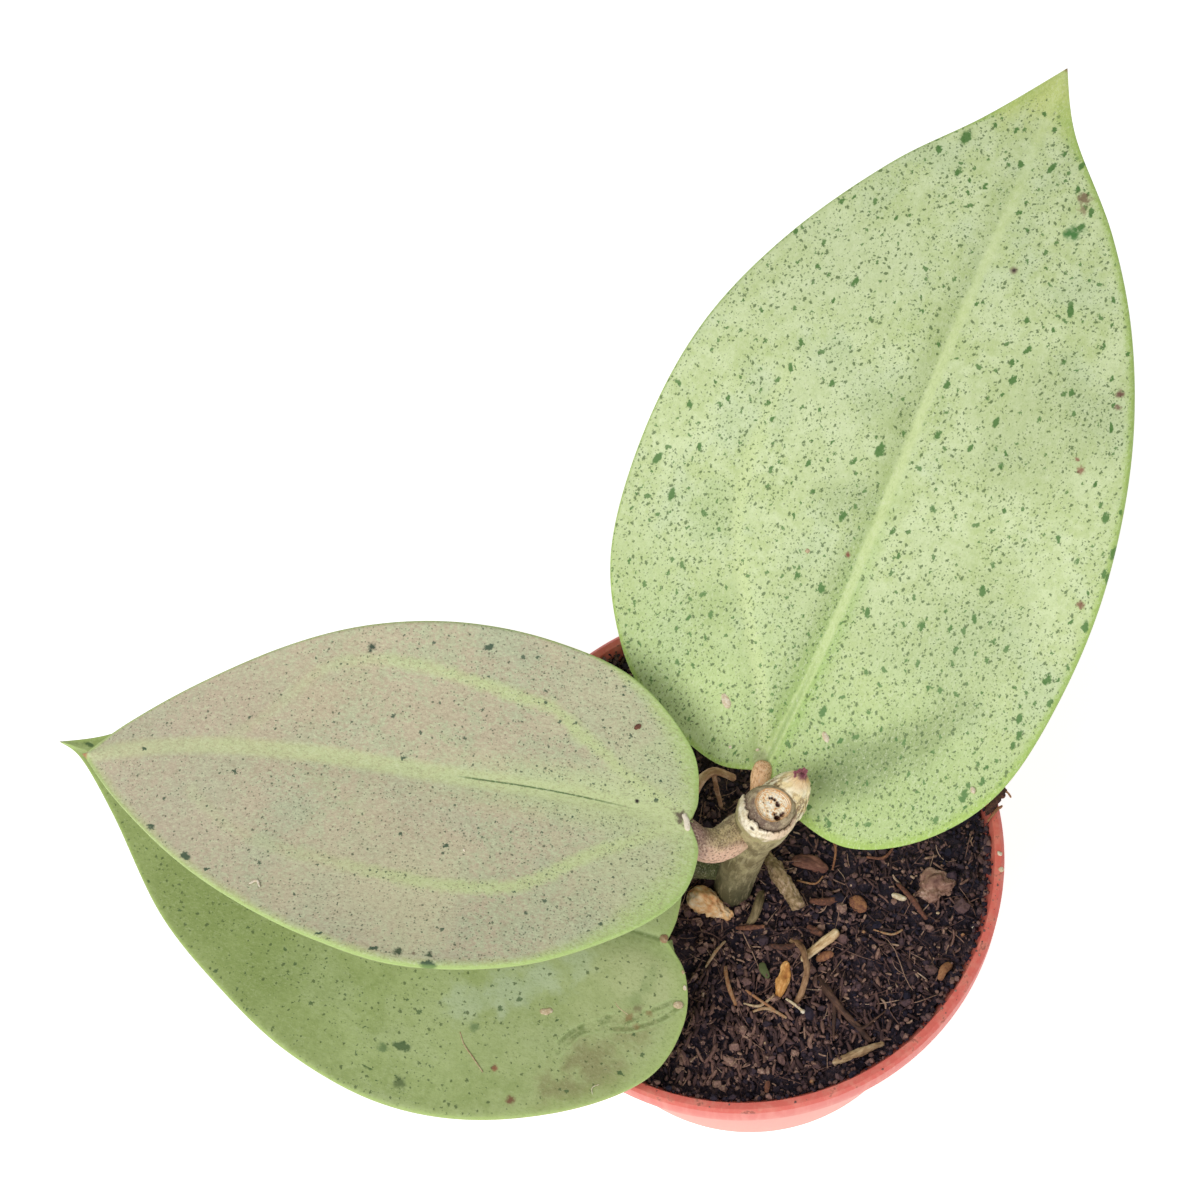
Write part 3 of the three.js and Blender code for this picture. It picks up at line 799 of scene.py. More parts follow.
def read_leaf(paint, look):
    """The measures and the noise at a place on a leaf."""
    flat = paint.attribute("flat", "Vector")
    at = SimpleNamespace(flat=flat, across=paint.parts(flat)["Y"], beside=paint.attribute("rib"))
    for name in ("margin", "vein", "upper", "course", "crease"):
        setattr(at, name, paint.attribute(name))
    for name, (size, detail, roughness) in LEAF_NOISE.items():
        place = paint.stretch(flat, GRAIN_STRETCH) if name == "grain" else flat
        setattr(at, name, paint.noise(place, size * MM, detail, roughness))
    at.wavy_rib = abs(at.beside) + at.mealy.sway(0.9 * MM) + at.grain.sway(0.4 * MM)
    at.midrib = paint.ease(at.wavy_rib, look.rib_width, look.rib_width * 0.3)
    at.rim = paint.ease(at.across, *HALFWAY, look.rim_right, look.rim_left)
    at.rim = at.rim + paint.ease(at.course, 0.2, 0.02, 0, look.rim_at_base)
    at.rim = at.rim + paint.ease(at.course, 0.86, 0.99, 0, look.rim_at_tip)
    return at


print("noise on a leaf, mm:", {name: size for name, (size, _, _) in LEAF_NOISE.items()})


# %% Silver, marks and margin
BROAD = 2  # a mark of a larger radius in mm lies below the flecks, a smaller one on top


def lay_silver(paint, at, look):
    """Silver, mottled and with a bloom here and there, and greener near the base."""
    mottled = paint.ease(at.grain * 0.34 + at.mealy * 0.3 + at.cloudy * 0.36, 0.44, 0.56)
    bloomed = paint.ease(at.patchy + at.grain.sway(0.3), 0.5, 0.64)
    near = paint.ease(at.course + at.cloudy.sway(0.3), 0.27, 0.02)
    return paint.over(look.silver, (mottled, look.mottle),
                      (bloomed * look.bloom_shows, look.bloom),
                      (near * look.base_green, look.near_base))


def lay_marks(paint, at, skin, marks):
    for x, y, radius, colour, strength, ragged in marks:
        mark = stain(paint, at.flat, x, y, radius, ragged)
        skin = paint.mix(mark * strength, skin, colour)
    return skin


def lay_margin(paint, at, skin, look):
    """The silver ends in a ragged line before the margin, and the tip has its own colour."""
    ragged = at.margin + at.cloudy.sway(at.rim) * 1.2 + at.grain.sway(at.rim) * 0.9
    silvered = paint.ease(ragged, at.rim * 0.1, at.rim * 1.5)
    tip = paint.ease(at.course + at.cloudy.sway(0.12), *look.tip_course)
    return paint.over(skin, ((1 - silvered) * look.margin_shows, look.margin),
                      (tip * look.tip_shows, look.tip))


print("broad marks:", {key: sum(mark[2] > BROAD for mark in marks) for key, marks in MARKS.items()})


# %% Ribs and creases
SHADE_START, SHADE_END = (0.1 * MM, 1 * MM), (4.8 * MM, 1.4 * MM)
GROOVE_CORE = 0.04 * MM


def lay_ribs(paint, at, skin, look):
    """The midrib in its glow, with painted shade on its left, the side veins, and a sunk groove."""
    glow = paint.ease(at.wavy_rib, look.glow_width, look.glow_width * 0.25)
    glow = glow * paint.ease(at.course, 0.5, 0.1)
    fading = paint.ease(at.course, 0.95, 0.55, look.rib_at_tip, 1)
    # Painted shade: a dark band along the left side of the midrib.
    shade = paint.ease(at.beside + at.mealy.sway(0.6 * MM), *SHADE_START)
    shade = shade * paint.ease(at.beside, *SHADE_END)
    branch = paint.ease(at.vein + at.mealy.sway(0.8) + at.cloudy.sway(0.6), 0.15, 1)
    branch = branch * paint.ease(at.course, 0.7, 0.3, look.vein_at_tip, 1)
    start, full, low, end = look.groove_course
    sunk = paint.ease(at.course, start, full) * paint.ease(at.course, end, low)
    core = abs(at.beside) + at.mealy.sway(0.2 * MM)
    sunk = sunk * paint.ease(core, look.groove_width, GROOVE_CORE)
    return paint.over(skin, (glow * look.glow_shows, look.glow),
                      (shade * fading * look.rib_shade, look.dark_grain),
                      (at.midrib * fading * look.rib_shows, look.vein),
                      (branch * look.vein_shows, look.vein),
                      (sunk * look.groove_shows, look.groove))


def lay_creases(paint, at, skin, look):
    """A crease is a dark line with a pale one on each side, worn away here and there."""
    worn = paint.ease(at.mealy + (at.cloudy - 0.5), 0.32, 0.6)
    pale = paint.ease(at.crease, 0.05, 0.3) * paint.ease(at.crease, 0.8, 0.4)
    dark = paint.ease(at.crease, 0.35, 0.9)
    return paint.over(skin, (pale * worn * 0.7, look.vein),
                      (dark * worn * 0.62, look.groove))


def lay_fine_grain(paint, at, skin, look):
    light, dark = (at.grain - 0.51).clamped(), (0.49 - at.grain).clamped()
    return paint.over(skin, (light * look.grain, look.light_grain),
                      (dark * look.grain, look.dark_grain))


print("creases:", {key: len(lines) for key, lines in CREASES.items()})


# %% Flecks on the silver
# The size of the random cells of each kind of fleck, and the size of the finest kind.
DUST_CELL, SPECK_CELL, FLECK_CELL, ISLAND_CELL = 0.5 * MM, 0.9 * MM, 1.9 * MM, 3.4 * MM
DUST = 0.15 * MM
EDGE_BAND = 5 * MM, 0.8 * MM


def fleck_masks(paint, at, look, islands):
    """Two masks: dust and specks, then flecks and islands."""
    cluster = paint.ease(paint.noise(at.flat, 2.1 * MM, detail=1.0), 0.42, 0.62)
    crowd = paint.ease(at.patchy, 0.42, 0.6) * 0.5 + cluster + 0.25
    crowd = crowd * paint.ease(at.course, 0.4, 0.1, 1, look.base_crowd)
    side = paint.ease(at.across, *HALFWAY, look.edge_right, look.edge_left)
    on_edge = paint.ease(at.margin, *EDGE_BAND) * side
    at_tip = paint.ease(at.course, 0.72, 0.92) * look.tip_crowd
    away = paint.ease(at.margin, at.rim * 0.2, at.rim * 0.9)
    off_rib = paint.ease(at.wavy_rib, look.rib_width * 0.5, look.rib_width)
    dust = flecks(paint, at.flat, DUST_CELL, DUST, crowd * look.dust, 1.3)
    specks = flecks(paint, at.flat, SPECK_CELL, look.speck, crowd * look.specks, look.dash)
    fair = flecks(paint, at.flat, FLECK_CELL, look.fleck, crowd * look.flecks, look.dash)
    crowd = (on_edge + 0.6 + at_tip) * look.islands
    large = flecks(paint, at.flat, ISLAND_CELL, look.island, crowd, 2.1, swing=1.0, ragged=0.6)
    small = (dust * 0.62).at_least(specks * 0.85) * away * off_rib
    big = (fair * 0.9 * away).at_least(large) * off_rib
    if islands:
        big = big.at_least(lone_islands(paint, at.flat, islands))
    return small, big


print("cells of the flecks, mm:",
      [round(cell / MM, 2) for cell in (DUST_CELL, SPECK_CELL, FLECK_CELL, ISLAND_CELL)])


# %% Edge line, underside and the whole finish
EDGE_LINE = 0.6 * MM, 0.1 * MM
BROWN_TIP, TIP_COLOUR = (0.992, 1), (176, 132, 92)


def lay_edges(paint, at, skin, look):
    """A thin clear line along the margin, and a dry brown end to the tip."""
    line = paint.ease(at.margin + at.mealy.sway(0.5 * MM), *EDGE_LINE)
    tip = paint.ease(at.course + at.cloudy.sway(0.01), *BROWN_TIP)
    return paint.over(skin, (line * look.line_shows, look.edge_line), (tip, TIP_COLOUR))


def underside(paint, at, look):
    beneath = paint.mix(paint.ease(at.cloudy, 0.3, 0.7), look.beneath, look.beneath_deep)
    ribs = at.midrib * 0.7 + paint.ease(at.vein, 0.2, 1) * 0.4
    return paint.mix(ribs, beneath, look.vein)


def leaf_finish(name, look, marks, islands):
    paint = Finish(name)
    at = read_leaf(paint, look)
    skin = lay_silver(paint, at, look)
    skin = lay_marks(paint, at, skin, [mark for mark in marks if mark[2] > BROAD])
    skin = lay_margin(paint, at, skin, look)
    skin = lay_ribs(paint, at, skin, look)
    skin = lay_creases(paint, at, skin, look)
    skin = lay_fine_grain(paint, at, skin, look)
    small, big = fleck_masks(paint, at, look, islands)
    skin = paint.over(skin, (small * look.fleck_depth, look.speck_colour),
                      (big * look.fleck_depth, look.green))
    skin = lay_marks(paint, at, skin, [mark for mark in marks if mark[2] <= BROAD])
    skin = lay_edges(paint, at, skin, look)
    colour = paint.mix(paint.ease(at.upper, 0.15, 0.45), underside(paint, at, look), skin)
    green = small.at_least(big)
    relief = at.cloudy * 0.5 + at.mealy * 0.35 + at.grain * 0.2 - green * 0.2
    bumped = paint.bump(relief, 0.24 * MM, 0.55)
    return paint.coat(colour, 0.5 + at.grain * 0.16 - green * 0.08, bumped, 0.4)


print("layers: silver, broad marks, margin, ribs, creases, grain, flecks, small marks, edges")

# %% [markdown]
# The three leaves share that finish and differ in their looks: the right one is silver green
# with many flecks, the left one is taupe with plain veins, and the low one is a dull green.

# %% The looks of the three leaves
# Colours, strengths, places along the leaf from 0 to 1, and widths in metres.
LOOKS = {
    "right": SimpleNamespace(
        silver=(220, 235, 183), mottle=(198, 216, 151), bloom=(203, 221, 184), bloom_shows=0.35,
        near_base=(172, 198, 124), base_green=0.7, margin=(168, 200, 92), margin_shows=0.85,
        rim_left=0.0003, rim_right=0.0009, rim_at_base=0.0003, rim_at_tip=0.003,
        tip=(218, 230, 140), tip_shows=0.85, tip_course=(0.88, 0.97), vein_at_tip=0.5, grain=2.0,
        glow=(168, 204, 108), glow_width=0.0028, glow_shows=0.65, vein=(215, 231, 166),
        rib_width=0.0009, rib_shows=0.7, rib_at_tip=0.2, rib_shade=0.4, vein_shows=0.65,
        groove=(128, 162, 82), groove_course=(-0.05, 0, 0.06, 0.2), groove_width=0.0005,
        groove_shows=0.6, light_grain=(234, 241, 208), dark_grain=(152, 172, 106), dust=1.1,
        speck=0.00026, specks=0.8, fleck=0.00044, flecks=0.34, island=0.00062, islands=0.2,
        dash=1.8, base_crowd=1.6, tip_crowd=1.4, edge_left=0.5, edge_right=2.2, green=(82, 128, 60),
        speck_colour=(76, 104, 52), fleck_depth=0.93, edge_line=(160, 198, 100), line_shows=0.15,
        beneath=(160, 186, 116), beneath_deep=(142, 170, 98)),
    "left": SimpleNamespace(
        silver=(201, 188, 160), mottle=(189, 193, 158), bloom=(184, 194, 164), bloom_shows=0.35,
        near_base=(200, 210, 164), base_green=0.55, margin=(188, 216, 130), margin_shows=0.75,
        rim_left=0.001, rim_right=0.0003, rim_at_base=0.002, rim_at_tip=0.0, tip=(198, 180, 163),
        tip_shows=0.35, tip_course=(0.55, 0.85), vein_at_tip=0.2, grain=3.0, glow=(205, 221, 160),
        glow_width=0.005, glow_shows=0.7, vein=(203, 217, 156), rib_width=0.0017, rib_shows=0.68,
        rib_at_tip=0.7, rib_shade=0.1, vein_shows=0.9, groove=(78, 112, 58),
        groove_course=(0.06, 0.17, 0.33, 0.37), groove_width=0.00017, groove_shows=0.95,
        light_grain=(218, 224, 184), dark_grain=(158, 152, 122), dust=0.5, speck=0.0002,
        specks=0.36, fleck=0.00034, flecks=0.15, island=0.0007, islands=0.008, dash=1.3,
        base_crowd=1.8, tip_crowd=0.0, edge_left=20.0, edge_right=0.0, green=(58, 86, 64),
        speck_colour=(62, 82, 58), fleck_depth=0.92, edge_line=(160, 198, 92), line_shows=0.4,
        beneath=(158, 168, 112), beneath_deep=(140, 150, 98)),
    "low": SimpleNamespace(
        silver=(172, 188, 126), mottle=(152, 169, 104), bloom=(180, 193, 146), bloom_shows=0.35,
        near_base=(180, 190, 136), base_green=0.6, margin=(174, 194, 120), margin_shows=0.6,
        rim_left=0.0008, rim_right=0.0009, rim_at_base=0.0014, rim_at_tip=0.002, tip=(140, 158, 86),
        tip_shows=0.6, tip_course=(0.25, 0.75), vein_at_tip=0.5, grain=2.2, glow=(172, 192, 126),
        glow_width=0.003, glow_shows=0.3, vein=(178, 196, 136), rib_width=0.0009, rib_shows=0.55,
        rib_at_tip=0.5, rib_shade=0.2, vein_shows=0.3, groove=(98, 118, 58),
        groove_course=(-0.05, 0, 0.1, 0.3), groove_width=0.0005, groove_shows=0.7,
        light_grain=(186, 200, 150), dark_grain=(116, 136, 76), dust=0.3, speck=0.0003, specks=0.38,
        fleck=0.00045, flecks=0.16, island=0.0008, islands=0.04, dash=1.3, base_crowd=0.7,
        tip_crowd=0.5, edge_left=1.0, edge_right=1.0, green=(68, 96, 54), speck_colour=(72, 92, 48),
        fleck_depth=0.88, edge_line=(176, 204, 112), line_shows=0.4, beneath=(140, 166, 98),
        beneath_deep=(124, 150, 84)),
}
SLOTS = {"right": "leaf_silver", "left": "leaf_taupe", "low": "leaf_green"}
for key, blade in blades.items():
    skin = leaf_finish(key + "_leaf_skin", LOOKS[key], MARKS[key], ISLANDS[key])
    finished(blade, skin, SLOTS[key], "leaf_" + key)

# %% [markdown]
# ## Round forms that grew
#
# The stem, the leaf stalks, the roots and the straws are all round forms along a bent
# course, thicker here and thinner there. One helper makes them: a grid primitive is wrapped
# round a smooth path, its seam is merged, and both ends are rounded off. Noise then raises
# and sinks the surface, so that no stalk stays a plain tube.


# %% Growing a round form
def untwisted(path, shares):
    """Centres along a smooth path, and two directions across it that don't twist."""
    ahead = smooth_line(path, np.minimum(shares + 0.01, 1))
    ahead = ahead - smooth_line(path, np.maximum(shares - 0.01, 0))
    ahead /= np.linalg.norm(ahead, axis=1)[:, None]
    side = np.cross(ahead[0], (0, 0, 1) if abs(ahead[0][2]) < 0.9 else (0, 1, 0))
    sides = []
    for way in ahead:
        side = side - way * (side @ way)
        side = side / np.linalg.norm(side)
        sides.append(side)
    sides = np.array(sides)
    return smooth_line(path, shares), sides, np.cross(ahead, sides)


def merge_seam(piece):
    in_edit(piece, lambda: bpy.ops.mesh.remove_doubles(threshold=MERGE),
            face_out)


def grow(name, path, radii, sides, rings, squash=1.0, blunt=0.8):
    """A closed round form along a path, in mm. Squash flattens it from above."""
    piece = new_grid(name, sides, rings)
    grid = points_of(piece)
    around = np.pi * grid[:, 0]
    ring = np.rint((grid[:, 1] + 1) / 2 * rings).astype(int)
    shares = 0.5 - 0.5 * np.cos(np.pi * np.arange(rings + 1) / rings)
    centres, across, up = untwisted(path, shares)
    course = np.append(0, np.cumsum(np.linalg.norm(np.diff(centres, axis=0), axis=1)))
    full = smooth_line(np.array(radii, float)[:, None], course / course[-1])[:, 0]
    to_end = np.minimum(course, course[-1] - course)
    radius = full * np.sqrt(1 - (1 - np.clip(to_end / (blunt * full), 0, 1)) ** 2)
    out = np.cos(around)[:, None] * across[ring] + squash * np.sin(around)[:, None] * up[ring]
    set_points(piece, (centres[ring] + radius[ring][:, None] * out) * MM)
    round_place = np.column_stack([np.cos(around), np.sin(around)]) * full[ring][:, None]
    write(piece, "skin", np.column_stack([round_place, course[ring]]) * MM)
    write(piece, "share", course[ring] / course[-1])
    merge_seam(piece)
    return piece


# %% Rough surfaces
def read(piece, name):
    """A vector attribute's values, in mm."""
    made = piece.data.attributes[name].data
    flat = np.empty(len(made) * 3, np.float32)
    made.foreach_get("vector", flat)
    return flat.reshape(-1, 3).astype(float) / MM


def normals_of(piece):
    flat = np.empty(len(piece.data.vertices) * 3, np.float32)
    piece.data.vertices.foreach_get("normal", flat)
    return flat.reshape(-1, 3).astype(float)


def lift(piece, rise):
    """Moves each vertex out along its normal, by its own number of mm."""
    set_points(piece, points_of(piece) + normals_of(piece) * (np.asarray(rise) * MM)[:, None])


def cloud(places, octaves=3):
    """Soft noise from about -1 to 1 at each place."""
    return np.array([noise.fractal(Vector(place), 1, 2, octaves) for place in places])


def roughen(piece, size, depth, seed, longer=1.0):
    """Noise relief in mm: blobs of a size, drawn out along the piece, up to a depth."""
    places = read(piece, "skin") * (1, 1, 1 / longer) / size + 17.3 + 5.1 * seed
    lift(piece, depth * cloud(places))


def joined(name, pieces):
    """Several pieces made one."""
    let_go()
    for piece in pieces:
        piece.select_set(True)
    bpy.context.view_layer.objects.active = pieces[0]
    bpy.ops.object.join()
    pieces[0].name = pieces[0].data.name = name
    return pieces[0]


# %% [markdown]
# Bark, root and straw share one kind of finish: streaks that run along the piece over a
# blotchy ground, with three colours from the hollows to the ridges. Only the colours, the
# size of the streaks and their length differ.


# %% A streaky finish
def streaky(name, low, middle, high, size=0.5, longer=5.0, depth=0.1, roughness=0.78):
    paint = Finish(name)
    skin = paint.attribute("skin", "Vector")
    drawn_out = paint.stretch(skin, (1, 1, 1 / longer))
    streaks = paint.noise(drawn_out, size * MM, detail=4.0, roughness=0.65)
    blotches = paint.noise(skin, 3.2 * size * MM, detail=3.0, roughness=0.6)
    pores = paint.noise(skin, 0.3 * size * MM, detail=1.0)
    blend = streaks * 0.55 + blotches * 0.45
    ground = paint.ramp(blend, [(0.36, low), (0.5, middle), (0.63, high)])
    speckled = paint.mix(paint.ease(pores, 0.6, 0.75) * 0.5, ground, low)
    bumped = paint.bump(blend - paint.ease(pores, 0.6, 0.8) * 0.2, depth * MM, 0.8)
    return paint.coat(speckled, roughness + pores * 0.15 - 0.07, bumped, 0.3)


print("a streaky finish for each kind of bark, root and straw")

# %% [markdown]
# ## The pot
#
# A thin nursery pot is one moulded wall with a thicker band at its mouth. It is pulled up
# ring by ring from a circle, as a potter would throw it, closed with two flat discs for the
# floor, and given soft edges by a bevel. Six drain holes are cut out of the floor.

# %% The pot
POT_HEIGHT, POT_RIM, POT_RIM_DEPTH, POT_BASE, POT_WALL, POT_FLOOR = 60, 35, 6, 27, 1.3, 2
RIM_STEP, POT_BEVEL, SHARP_EDGE = 0.9, 0.28, math.radians(28)
UNDER_RIM = POT_HEIGHT - POT_RIM_DEPTH
DRAIN_RADIUS, DRAIN_CIRCLE, DRAINS = 3, 17, 6


def pot_radius(height):
    return POT_BASE + (POT_RIM - RIM_STEP - POT_BASE) * height / POT_HEIGHT


def pot_inside(height):
    straight = pot_radius(min(height, UNDER_RIM)) - POT_WALL
    share = max(0, (height - UNDER_RIM) / POT_RIM_DEPTH)
    return straight + (POT_RIM - POT_WALL - straight) * share


def pull_ring(widen, rise):
    """Extrudes the selected ring: up by a rise in mm, and wider by a factor."""
    bpy.ops.mesh.extrude_region_move(TRANSFORM_OT_translate={"value": (0, 0, rise * MM)})
    bpy.ops.transform.resize(value=(widen, widen, 1), center_override=(0, 0, 0))


def throw_pot(profile):
    pot = new_piece("nursery_pot", bpy.ops.mesh.primitive_circle_add, vertices=180,
                    radius=profile[0][0] * MM, fill_type="NOTHING")
    steps = [lambda a=a, b=b: pull_ring(b[0] / a[0], b[1] - a[1])
             for a, b in zip(profile[:-1], profile[1:])]
    in_edit(pot, *steps, take_all,
            lambda: bpy.ops.mesh.fill_holes(sides=0),
            face_out)
    for i in range(DRAINS):
        turn = 2 * math.pi * i / DRAINS
        place = Vector((math.cos(turn), math.sin(turn), 0)) * DRAIN_CIRCLE * MM
        drill = new_piece("drill", bpy.ops.mesh.primitive_cylinder_add, vertices=40,
                          radius=DRAIN_RADIUS * MM, depth=4 * POT_FLOOR * MM, location=place)
        modify(pot, "BOOLEAN", object=drill, operation="DIFFERENCE", solver="EXACT")
        bpy.data.objects.remove(drill)
    modify(pot, "BEVEL", width=POT_BEVEL * MM, segments=3, limit_method="ANGLE",
           angle_limit=SHARP_EDGE)
    return pot


POT_PROFILE = [
    (POT_BASE - 1.2, 0), (POT_BASE - 0.35, 0.4), (pot_radius(1.2), 1.2),
    (pot_radius(UNDER_RIM - 0.8), UNDER_RIM - 0.8), (POT_RIM - 0.5, UNDER_RIM),
    (POT_RIM, UNDER_RIM + 0.5), (POT_RIM, POT_HEIGHT - 0.5), (POT_RIM - 0.45, POT_HEIGHT),
    (pot_inside(POT_HEIGHT), POT_HEIGHT),
    (pot_inside(UNDER_RIM), UNDER_RIM), (pot_inside(POT_FLOOR), POT_FLOOR),
]
pot = throw_pot(POT_PROFILE)
print("pot is", [round(d / MM, 1) for d in pot.dimensions], "mm")

# %% [markdown]
# The plastic is a dull terracotta red. Its wall is painted paler than its rim, and paler still
# lower down: painted light from the white table. Its rim is scuffed and smeared with peat.


# %% Terracotta plastic
def pot_finish():
    paint = Finish("terracotta_plastic")
    place = paint.place()
    height = paint.parts(place)["Z"]
    smears = paint.noise(place, 2.2 * MM, detail=4.0, roughness=0.65)
    drawn = paint.noise(paint.stretch(place, (1, 1, 0.12)), 1.2 * MM, detail=3.0)
    dust = paint.noise(place, 0.5 * MM, detail=2.0, roughness=0.7)
    near_top = paint.ease(height, 58.5 * MM, 59.8 * MM)
    scuffed = paint.ease(smears, 0.5, 0.64) * near_top
    soiled = paint.ease(smears + dust.sway(0.35), 0.6, 0.7) * near_top
    film = paint.attribute("inner") * paint.ease(smears + dust.sway(0.5), 0.25, 0.45)
    # The wall below the rim is painted paler than the rim, and paler still below 50 mm: painted light
    # from the white table.
    plastic = paint.over(
        (226, 140, 126),
        (paint.ease(height, 52 * MM, 57 * MM), (220, 106, 94)),
        (paint.ease(height, 50 * MM, 0) * 0.5, (236, 172, 158)),
        (paint.ease(drawn, 0.45, 0.7) * 0.3, (236, 158, 140)),
        (paint.ease(dust, 0.55, 0.75) * 0.35, (228, 150, 134)),
        (scuffed * 0.4, (224, 148, 128)),
        (soiled * 0.55, (110, 66, 56)),
        (film * paint.ease(height, 59.6 * MM, 58 * MM) * 0.92, (62, 44, 46)))
    bumped = paint.bump(drawn * 0.5 + dust * 0.3 + soiled * 0.5, 0.12 * MM, 0.6)
    return paint.coat(plastic, 0.42 + dust * 0.18 + soiled * 0.3, bumped, 0.45)


places = points_of(pot) / MM
inside = np.hypot(places[:, 0], places[:, 1]) < pot_radius(places[:, 2]) - POT_WALL / 2
write(pot, "inner", inside & (places[:, 2] > POT_FLOOR / 2))
finished(pot, pot_finish(), "pot_plastic", "pot")

# %% [markdown]
# ## The soil
#
# Dark peat has no smooth surface anywhere. Three layers give it depth: a bed with fine
# relief, some thousands of crumbs of every size that half sink into it, and coir fibres and
# scraps of bark on top. A crumb is a 20-sided ball that an Array modifier repeats. Each copy
# is then squeezed, turned, jittered and put in its place by a seeded draw.

# %% The bed
SOIL_EDGE_HEIGHT, SOIL_CROWN, SOIL_LUMP = 56.6, 0.7, 0.55
WALL_GAP = 0.3
SOIL_EDGE = pot_inside(SOIL_EDGE_HEIGHT) - WALL_GAP
BED_GRID, BED_BOTTOM = 240, POT_FLOOR + 0.6
BED_STOPS = [(0.3, (28, 27, 38)), (0.5, (52, 45, 56)), (0.62, (88, 70, 74)), (0.75, (122, 98, 92))]


def soil_top(x, y):
    """Height of the soil at a place, in mm."""
    share = np.hypot(x, y) / SOIL_EDGE
    broad = np.sin(0.62 * x + 1.3) * np.cos(0.55 * y - 0.4)
    middling = np.sin(1.1 * x - 0.5 * y + 2.1) + np.cos(0.6 * x + 1.25 * y)
    lumps = SOIL_LUMP * (0.6 * broad + 0.35 * middling)
    return SOIL_EDGE_HEIGHT + SOIL_CROWN * (1 - share ** 2) + lumps


def lay_bed():
    bed = new_grid("soil_bed", BED_GRID, BED_GRID)
    square = points_of(bed)
    x = SOIL_EDGE * square[:, 0] * np.sqrt(1 - square[:, 1] ** 2 / 2)
    y = SOIL_EDGE * square[:, 1] * np.sqrt(1 - square[:, 0] ** 2 / 2)
    flat = np.column_stack([x, y, np.zeros(len(x))])
    pebbles = np.array([noise.voronoi(Vector(place / 1.3))[0][0] for place in flat])
    relief = 0.3 * cloud(flat / 2.6) + 0.25 * cloud(flat / 0.7 + 9) - 0.45 * pebbles
    inland = np.clip((SOIL_EDGE - np.hypot(x, y)) / 0.5, 0, 1)
    set_points(bed, np.column_stack([x, y, soil_top(x, y) + relief * inland - 0.1]) * MM)
    shoulder, foot = pot_inside(UNDER_RIM) - WALL_GAP, pot_inside(POT_FLOOR) - WALL_GAP
    in_edit(bed, lambda: bpy.ops.mesh.region_to_loop(),
            lambda: pull_ring(shoulder / SOIL_EDGE, UNDER_RIM - SOIL_EDGE_HEIGHT),
            lambda: pull_ring(foot / shoulder, BED_BOTTOM - UNDER_RIM),
            lambda: bpy.ops.mesh.edge_face_add(), take_all, face_out)
    return bed


def peat_finish():
    paint = Finish("dark_peat")
    place = paint.place()
    damp = paint.noise(place, 6 * MM, detail=3.0)
    crumbs = paint.noise(place, 1.1 * MM, detail=5.0, roughness=0.7)
    hairs = paint.noise(place, 0.4 * MM, detail=2.0, distortion=1.5)
    colour = paint.ramp(crumbs * 0.7 + damp * 0.3, BED_STOPS)
    colour = paint.mix(paint.ease(hairs, 0.6, 0.7) * 0.5, colour, (118, 90, 78))
    bumped = paint.bump(crumbs + hairs * 0.3, 0.6 * MM, 0.9)
    return paint.coat(colour, 0.86 + hairs * 0.1, bumped, 0.2)


bed = lay_bed()
finished(bed, peat_finish(), "soil", "soil", smooth=False)


# %% Scattering copies
STREW_REACH, ROD_LIMIT = 32.2, 32.6  # how far out crumbs lie, and how far a fibre may stick out
LUMPS, SQUEEZE, SQUEEZE_MORE = 0.55, 0.55, 0.75
rng = np.random.default_rng(7)


def random_turns(count):
    """A random rotation for each copy."""
    q = rng.normal(size=(count, 4))
    w, x, y, z = (q / np.linalg.norm(q, axis=1)[:, None]).T
    return np.stack([1 - 2 * (y * y + z * z), 2 * (x * y - z * w), 2 * (x * z + y * w),
                     2 * (x * y + z * w), 1 - 2 * (x * x + z * z), 2 * (y * z - x * w),
                     2 * (x * z - y * w), 2 * (y * z + x * w), 1 - 2 * (x * x + y * y)],
                    -1).reshape(-1, 3, 3)


def scattered(piece, shapes, tints):
    """Repeats a small piece. The shapes are each copy's vertices in mm, the tints its colours."""
    modify(piece, "ARRAY", count=len(shapes), use_relative_offset=False,
           use_constant_offset=True, constant_offset_displace=(0, 0, 0.001))
    set_points(piece, shapes.reshape(-1, 3) * MM)
    write(piece, "tint", np.repeat(tints, shapes.shape[1]))
    return piece


def soil_spots(count, reach=STREW_REACH):
    """Random places on the soil in mm, evenly spread."""
    radius, turn = reach * np.sqrt(rng.random(count)), 2 * np.pi * rng.random(count)
    return radius * np.cos(turn), radius * np.sin(turn)


def crumb_shapes(piece, spots, sizes, sink=0.2):
    """A lumpy, turned copy of the piece at each spot, resting on the soil."""
    ball = points_of(piece) / MM
    lumps = 1 + LUMPS * (rng.random((len(sizes), len(ball), 1)) - 0.5)
    squeeze = SQUEEZE + SQUEEZE_MORE * rng.random((len(sizes), 1, 3))
    local = np.einsum("nij,nvj->nvi", random_turns(len(sizes)), ball * lumps * squeeze)
    centres = np.column_stack([*spots, soil_top(*spots) + sizes * (0.5 - sink)])
    return local * sizes[:, None, None] + centres[:, None, :]


def earthy(name, stops):
    """A finish for scattered bits: each copy's tint picks its colour."""
    paint = Finish(name)
    fine = paint.noise(paint.place(), 0.4 * MM, detail=3.0, roughness=0.7)
    colour = paint.ramp(paint.attribute("tint") + fine.sway(0.6), stops)
    return paint.coat(colour, 0.8 + fine * 0.12, paint.bump(fine, 0.15 * MM, 0.7), 0.25)


PEAT_STOPS = [(0, (34, 32, 48)), (0.3, (62, 50, 60)), (0.55, (96, 74, 76)),
              (0.8, (128, 98, 92)), (0.94, (158, 126, 112)), (1, (196, 168, 148))]


def finish_peat(piece):
    finished(piece, earthy(piece.name + "_finish", PEAT_STOPS), "soil", "soil", smooth=False)


